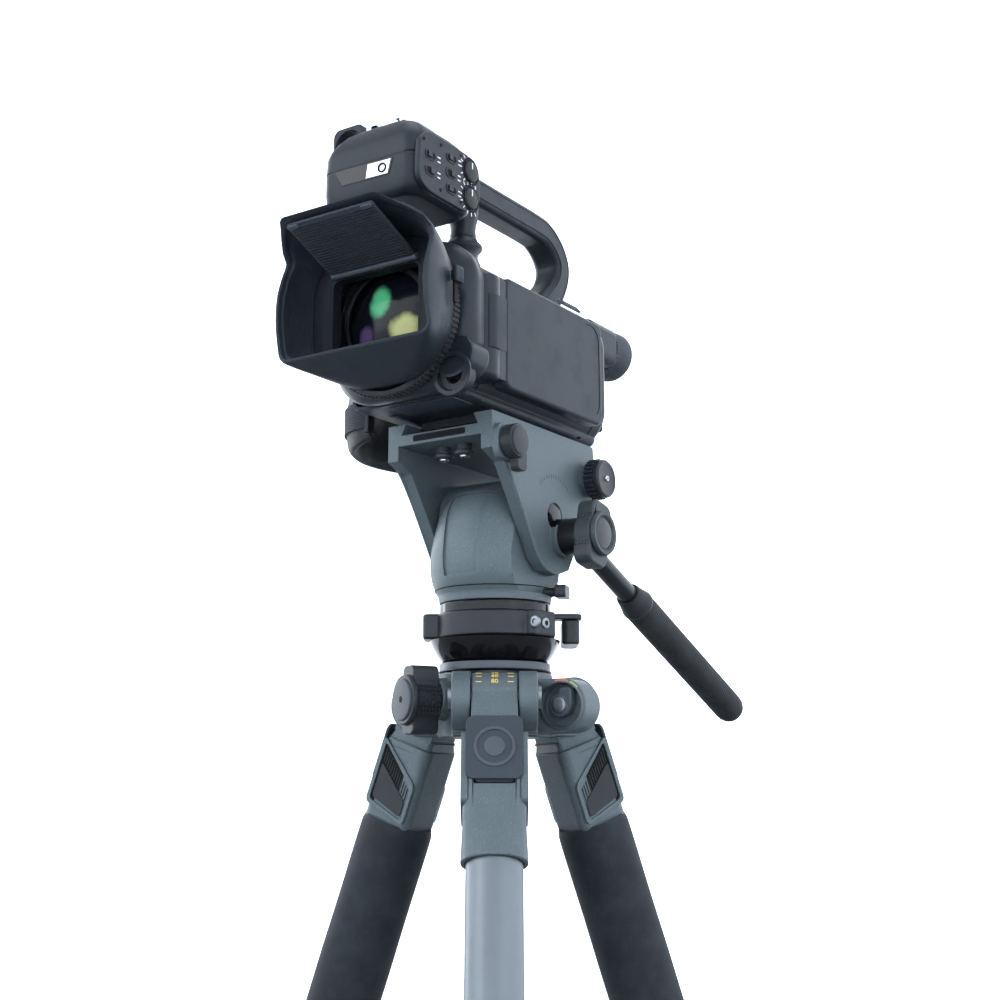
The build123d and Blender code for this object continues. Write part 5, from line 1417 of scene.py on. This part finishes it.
def mic_clamp_and_shoe():
    """The microphone clamp and the accessory shoe on the block."""
    clamp = turn_to(HOME, (-28.8, -92, 231), (0, -1, 0))
    frame_plate("mic_clamp", oblong(10.4, 11.0, 4.5, 8), oblong(8.9, 8.9, 8.89, 8), -7, 6, "shell",
                "camera", clamp, 0.6)
    block("mic_clamp_arm", (-37, -98, 214), (-16, -85, 221), "shell", "camera", 1.2)
    split = turn_to(HOME, (-39.1, -91.5, 231), (-1, 0, 0))
    slab("mic_clamp_split", oblong(6.2, 0.5, 0.3), -0.5, 0.35, "gap", "camera", split, 0.05)
    cap_screw("mic_clamp_screw", 2.2, "camera", turn_to(HOME, (-31, -92, 241.9), (0, 0, 1), (0, 1, 0)), -0.4)
    block("shoe_floor", (-10.5, -105, 230.6), (14.5, -79, 232), "black", "camera", 0.3)
    for side, label in ((-1, "right"), (1, "left")):
        rail = [(side * 12.5, 0), (side * 12.5, 4.8), (side * 6.3, 4.8), (side * 6.3, 2.3), (side * 9.4, 2.3),
                (side * 9.4, 0)]
        slab(f"shoe_rail_{label}", rail, -13, 13, "chrome", "camera",
             turn_to(HOME, (2, -92, 231.2), (0, -1, 0)), 0.3)


# ------------------------------------------------------------------ hand strap
def strap_line():
    """The pad's middle line seen from above, from its front anchor to its rear one."""
    return smooth_path([(-45.2, -54), (-55, -52.5), (-66, -44), (-73, -27), (-73.6, -8), (-69.4, 12),
                        (-61, 28.5), (-51.5, 37), (-45.2, 39.6)], 6)


def way_along(line, i):
    """The direction of a line of (x, y, ...) points at one of them."""
    before, after = line[max(i - 1, 0)], line[min(i + 1, len(line) - 1)]
    return Vector((after[0] - before[0], after[1] - before[1])).normalized()


STRAP_Z = 94.0
TAIL_DROP = 8.0
TAIL_RISE = 4.8


def build_strap():
    """The padded hand strap with its tape, tail, buckle, piping and anchors."""
    line = strap_line()
    rings = []
    section = 28
    for i, (x, y) in enumerate(line):
        way = way_along(line, i)
        out = Vector((way.y, -way.x))
        if out.x > 0:
            out = -out
        share = i / (len(line) - 1)
        belly = math.sin(math.pi * share) ** 0.6
        half = 12.0 + 6.6 * belly
        thick = 1.6 + 2.9 * belly
        ring = []
        for k in range(section):
            turn = k * TAU / section
            c, s = math.cos(turn), math.sin(turn)
            across = math.copysign(abs(s) ** 0.75, s) * half
            depth = math.copysign(abs(c) ** 0.85, c) * thick
            wrinkle = 0.35 * belly * math.sin(share * 61 + across * 0.35) * math.cos(across * 0.21)
            depth += wrinkle * (1 if c > 0 else -1) * abs(c)
            ring.append((x + out.x * depth, y + out.y * depth, STRAP_Z + across))
        rings.append(ring)
    points, faces = skin(rings)
    pad = solid("hand_pad", points, faces, "leather", "camera", sharp=70,
                stands_for=("hand_strap",), slot="strap_leather")
    band = []
    for i, (x, y) in enumerate(line):
        way = way_along(line, i)
        out = Vector((-abs(way.y), way.x if way.y > 0 else -way.x))
        share = i / (len(line) - 1)
        lift = 1.7 + 2.95 * math.sin(math.pi * share) ** 0.6
        base = (x + out.x * lift, y + out.y * lift)
        over = (x + out.x * (lift + 1.1), y + out.y * (lift + 1.1))
        band.append([(base[0], base[1], 86.5), (over[0], over[1], 86.7), (over[0], over[1], 101.3),
                     (base[0], base[1], 101.5)])
    points, faces = skin(band)
    solid("strap_webbing", points, faces, "webbing", "camera", sharp=50)
    tail = [(-71.0, -36, 92), (-69.0, -43, 99), (-63.0, -49, 106), (-55.0, -52, 110.5), (-47.0, -53, 112)]
    path = smooth_path(tail, 5)
    rings = []
    for x, y, z in path:
        low, high = z - TAIL_DROP, z + TAIL_RISE
        rings.append([(x - 1.0, y - 0.8, low), (x + 0.2, y + 0.2, low), (x + 0.2, y + 0.2, high),
                      (x - 1.0, y - 0.8, high)])
    points, faces = skin(rings)
    solid("strap_tail", points, faces, "webbing", "camera", sharp=50)
    loop = turn_to(HOME, (-58.5, -51.5, 108.5), (-0.60, -0.80, 0))
    frame_plate("strap_buckle", oblong(6.5, 8.5, 2.5), oblong(4.2, 6.2, 1.5), -1.1, 1.1, "buckle", "camera",
                loop, 0.4)
    for z, label in ((77.8, "low"), (110.2, "high")):
        edge = []
        for i, (x, y) in enumerate(line[4:-4], 4):
            belly = math.sin(math.pi * i / (len(line) - 1)) ** 0.6
            edge.append((x - 2.6 * belly * 0.95, y, STRAP_Z + (z - STRAP_Z) * (0.66 + 0.34 * belly)))
        beaded(f"strap_piping_{label}", edge, 0.55, "leather", "camera")
    for y, name in ((-54.5, "front"), (40.0, "rear")):
        block(f"strap_anchor_{name}", (-47.6, y - 3, 84), (-44.6, y + 3, 105), "black", "camera", 0.8)


# ------------------------------------------------------------------ stage
def paper(name, finish, profile, smooth=False):
    """A floor turned from (radius, height) pairs in metres."""
    rings = [[(r * x, r * y, h) for x, y in circle(1.0, 96)] for r, h in profile]
    points, faces = skin(rings, "open")
    mesh = bpy.data.meshes.new(name)
    mesh.from_pydata([Vector(p) for p in points], [], faces)
    mesh.materials.append(finish.material)
    if smooth:
        mesh.shade_smooth()
    made = bpy.data.objects.new(name, mesh)
    bpy.context.scene.collection.objects.link(made)


CURVE_START = 3.4
CURVE_RADIUS = 1.6
CURVE_STEPS = 12


def build_stage():
    """A glowing paper bowl round a grey floor, five soft lights and an even sky."""
    pale = Finish("pale studio paper")
    cloud = pale.noise(0.6, 2.0)
    pale.set(Base_Color=pale.mix(cloud, (0.80, 0.80, 0.80, 1), (0.84, 0.84, 0.84, 1)), Roughness=0.85,
             Emission_Color=(0.90, 1.0, 1.12, 1), Emission_Strength=0.95)
    profile = [(2.2, 0), (2.6, 0), (3.0, 0), (CURVE_START, 0)]
    for step in range(1, CURVE_STEPS + 1):
        turn = step / CURVE_STEPS * math.pi / 2
        profile.append((CURVE_START + CURVE_RADIUS * math.sin(turn), CURVE_RADIUS * (1 - math.cos(turn))))
    profile += [(5.0, 3.2), (5.0, 5.0)]
    paper("floor", pale, profile, True)
    grey = Finish("grey studio paper")
    grey.set(Base_Color=grey.mix(grey.noise(0.8, 2.0), (0.20, 0.21, 0.22, 1), (0.23, 0.24, 0.25, 1)),
             Roughness=0.8)
    paper("near_floor", grey, [(r, -0.001) for r in (0.001, 0.8, 1.6, 2.25)])
    focus = ORIGIN + Vector((0, 0, 0.08))
    for name, place, wide, tall, power in (
            ("key softbox", (-1.1, -1.7, 1.55), 1.1, 1.1, 8.0),
            ("side softbox", (2.0, -0.6, 1.2), 0.7, 1.5, 1.6),
            ("left strip", (-1.9, 0.2, 0.9), 0.4, 1.7, 9.0),
            ("back strip", (-0.5, 1.9, 1.5), 1.4, 0.6, 6.0),
            ("top softbox", (0.1, 0.0, 2.3), 1.4, 1.4, 10.0)):
        light = bpy.data.lights.new(name, "AREA")
        light.shape = "RECTANGLE"
        light.size, light.size_y = wide, tall
        light.energy = power
        made = bpy.data.objects.new(name, light)
        made.location = ORIGIN + Vector(place) - Vector((0, 0, 0.4))
        made.rotation_euler = (focus - made.location).to_track_quat("-Z", "Y").to_euler()
        made.visible_camera = False
        bpy.context.scene.collection.objects.link(made)
    world = bpy.context.scene.world or bpy.data.worlds.new("studio")
    bpy.context.scene.world = world
    world.use_nodes = True
    world.node_tree.nodes["Background"].inputs[0].default_value = (0.9, 0.93, 1.0, 1)
    world.node_tree.nodes["Background"].inputs[1].default_value = 0.9
    bpy.context.scene.view_settings.view_transform = "Standard"


CAMERA_PLACE = (444.0, -653.4, -110.0)
CAMERA_HEADING = 34.0
CAMERA_PITCH = 11.5
CAMERA_LENS = 52.3


def build_camera():
    """The camera, low in front and a little to the left, looking slightly up."""
    heading, pitch = math.radians(CAMERA_HEADING), math.radians(CAMERA_PITCH)
    right = Vector((math.cos(heading), math.sin(heading), 0))
    level = Vector((-math.sin(heading), math.cos(heading), 0))
    forward = level * math.cos(pitch) + Vector((0, 0, math.sin(pitch)))
    up = right.cross(forward)
    data = bpy.data.cameras.new("camera")
    data.lens = CAMERA_LENS
    data.sensor_width = 36
    data.clip_start, data.clip_end = 0.01, 50
    made = bpy.data.objects.new("camera", data)
    turn = Matrix((right, up, -forward)).transposed().to_4x4()
    made.matrix_world = Matrix.Translation(ORIGIN + Vector(CAMERA_PLACE) * MM) @ turn
    bpy.context.scene.collection.objects.link(made)
    bpy.context.scene.camera = made


# ------------------------------------------------------------------ operators
class TRIPOD_OT_finishes(bpy.types.Operator):
    """Makes the finishes and the node trees that repeat small pieces"""
    bl_idname = "tripod.finishes"
    bl_label = "Mix finishes"

    def execute(self, context):
        TREES["repeat"] = repeat_tree()
        TREES["bead"] = bead_tree()
        mix_finishes()
        return {"FINISHED"}


class TRIPOD_OT_legs(bpy.types.Operator):
    """Castings, latches, sleeves, tubes, collars and feet"""
    bl_idname = "tripod.legs"
    bl_label = "Legs"

    def execute(self, context):
        for number in (1, 2, 3):
            dress_leg(number)
        return {"FINISHED"}


class TRIPOD_OT_hub(bpy.types.Operator):
    """Spider, column, ball, clamp ring and their levers"""
    bl_idname = "tripod.hub"
    bl_label = "Hub and leveller"

    def execute(self, context):
        dress_hub()
        return {"FINISHED"}


class TRIPOD_OT_head(bpy.types.Operator):
    """Housing, cradle, knobs and pan bar"""
    bl_idname = "tripod.head"
    bl_label = "Fluid head"

    def execute(self, context):
        dress_head()
        return {"FINISHED"}


class TRIPOD_OT_case(bpy.types.Operator):
    """Body, front shell, viewfinder, battery and covers"""
    bl_idname = "tripod.case"
    bl_label = "Camcorder case"

    def execute(self, context):
        camera_details()
        return {"FINISHED"}


class TRIPOD_OT_lens(bpy.types.Operator):
    """Hood, barrier flap, focus ring and glass"""
    bl_idname = "tripod.lens"
    bl_label = "Lens and hood"

    def execute(self, context):
        dress_lens()
        return {"FINISHED"}


class TRIPOD_OT_screen(bpy.types.Operator):
    """Fold-out screen and its hinge block"""
    bl_idname = "tripod.screen"
    bl_label = "Screen"

    def execute(self, context):
        dress_screen()
        return {"FINISHED"}


class TRIPOD_OT_handle(bpy.types.Operator):
    """Handle, front block, audio panel, clamp and shoe"""
    bl_idname = "tripod.handle"
    bl_label = "Handle unit"

    def execute(self, context):
        dress_handle()
        return {"FINISHED"}


class TRIPOD_OT_strap(bpy.types.Operator):
    """Padded loop, webbing and buckle"""
    bl_idname = "tripod.strap"
    bl_label = "Hand strap"

    def execute(self, context):
        build_strap()
        return {"FINISHED"}


class TRIPOD_OT_stage(bpy.types.Operator):
    """Floor, lights and camera"""
    bl_idname = "tripod.stage"
    bl_label = "Stage"

    def execute(self, context):
        build_stage()
        build_camera()
        return {"FINISHED"}


OPERATORS = (TRIPOD_OT_finishes, TRIPOD_OT_legs, TRIPOD_OT_hub, TRIPOD_OT_head, TRIPOD_OT_case,
             TRIPOD_OT_lens, TRIPOD_OT_screen, TRIPOD_OT_handle, TRIPOD_OT_strap, TRIPOD_OT_stage)


class TRIPOD_PT_panel(bpy.types.Panel):
    """Lists the sizes, the colours and the pieces."""
    bl_label = "Tripod dresser"
    bl_idname = "TRIPOD_PT_panel"
    bl_space_type = "VIEW_3D"
    bl_region_type = "UI"
    bl_category = "Tripod"

    def draw(self, context):
        for group in (context.scene.stand_sizes, context.scene.stand_colours):
            for key in group.bl_rna.properties.keys():
                if key not in ("rna_type", "name"):
                    self.layout.prop(group, key)
        for made in OPERATORS:
            self.layout.operator(made.bl_idname)


CLASSES = (StandColours, StandSizes, *OPERATORS, TRIPOD_PT_panel)


def register():
    for made in CLASSES:
        bpy.utils.register_class(made)
    bpy.types.Scene.stand_sizes = bpy.props.PointerProperty(type=StandSizes)
    bpy.types.Scene.stand_colours = bpy.props.PointerProperty(type=StandColours)


def unregister():
    del bpy.types.Scene.stand_colours
    del bpy.types.Scene.stand_sizes
    for made in reversed(CLASSES):
        bpy.utils.unregister_class(made)


def main():
    register()
    bpy.ops.tripod.finishes()
    bpy.ops.tripod.legs()
    bpy.ops.tripod.hub()
    bpy.ops.tripod.head()
    bpy.ops.tripod.case()
    bpy.ops.tripod.lens()
    bpy.ops.tripod.screen()
    bpy.ops.tripod.handle()
    bpy.ops.tripod.strap()
    bpy.ops.tripod.stage()


if __name__ == "__main__":
    main()
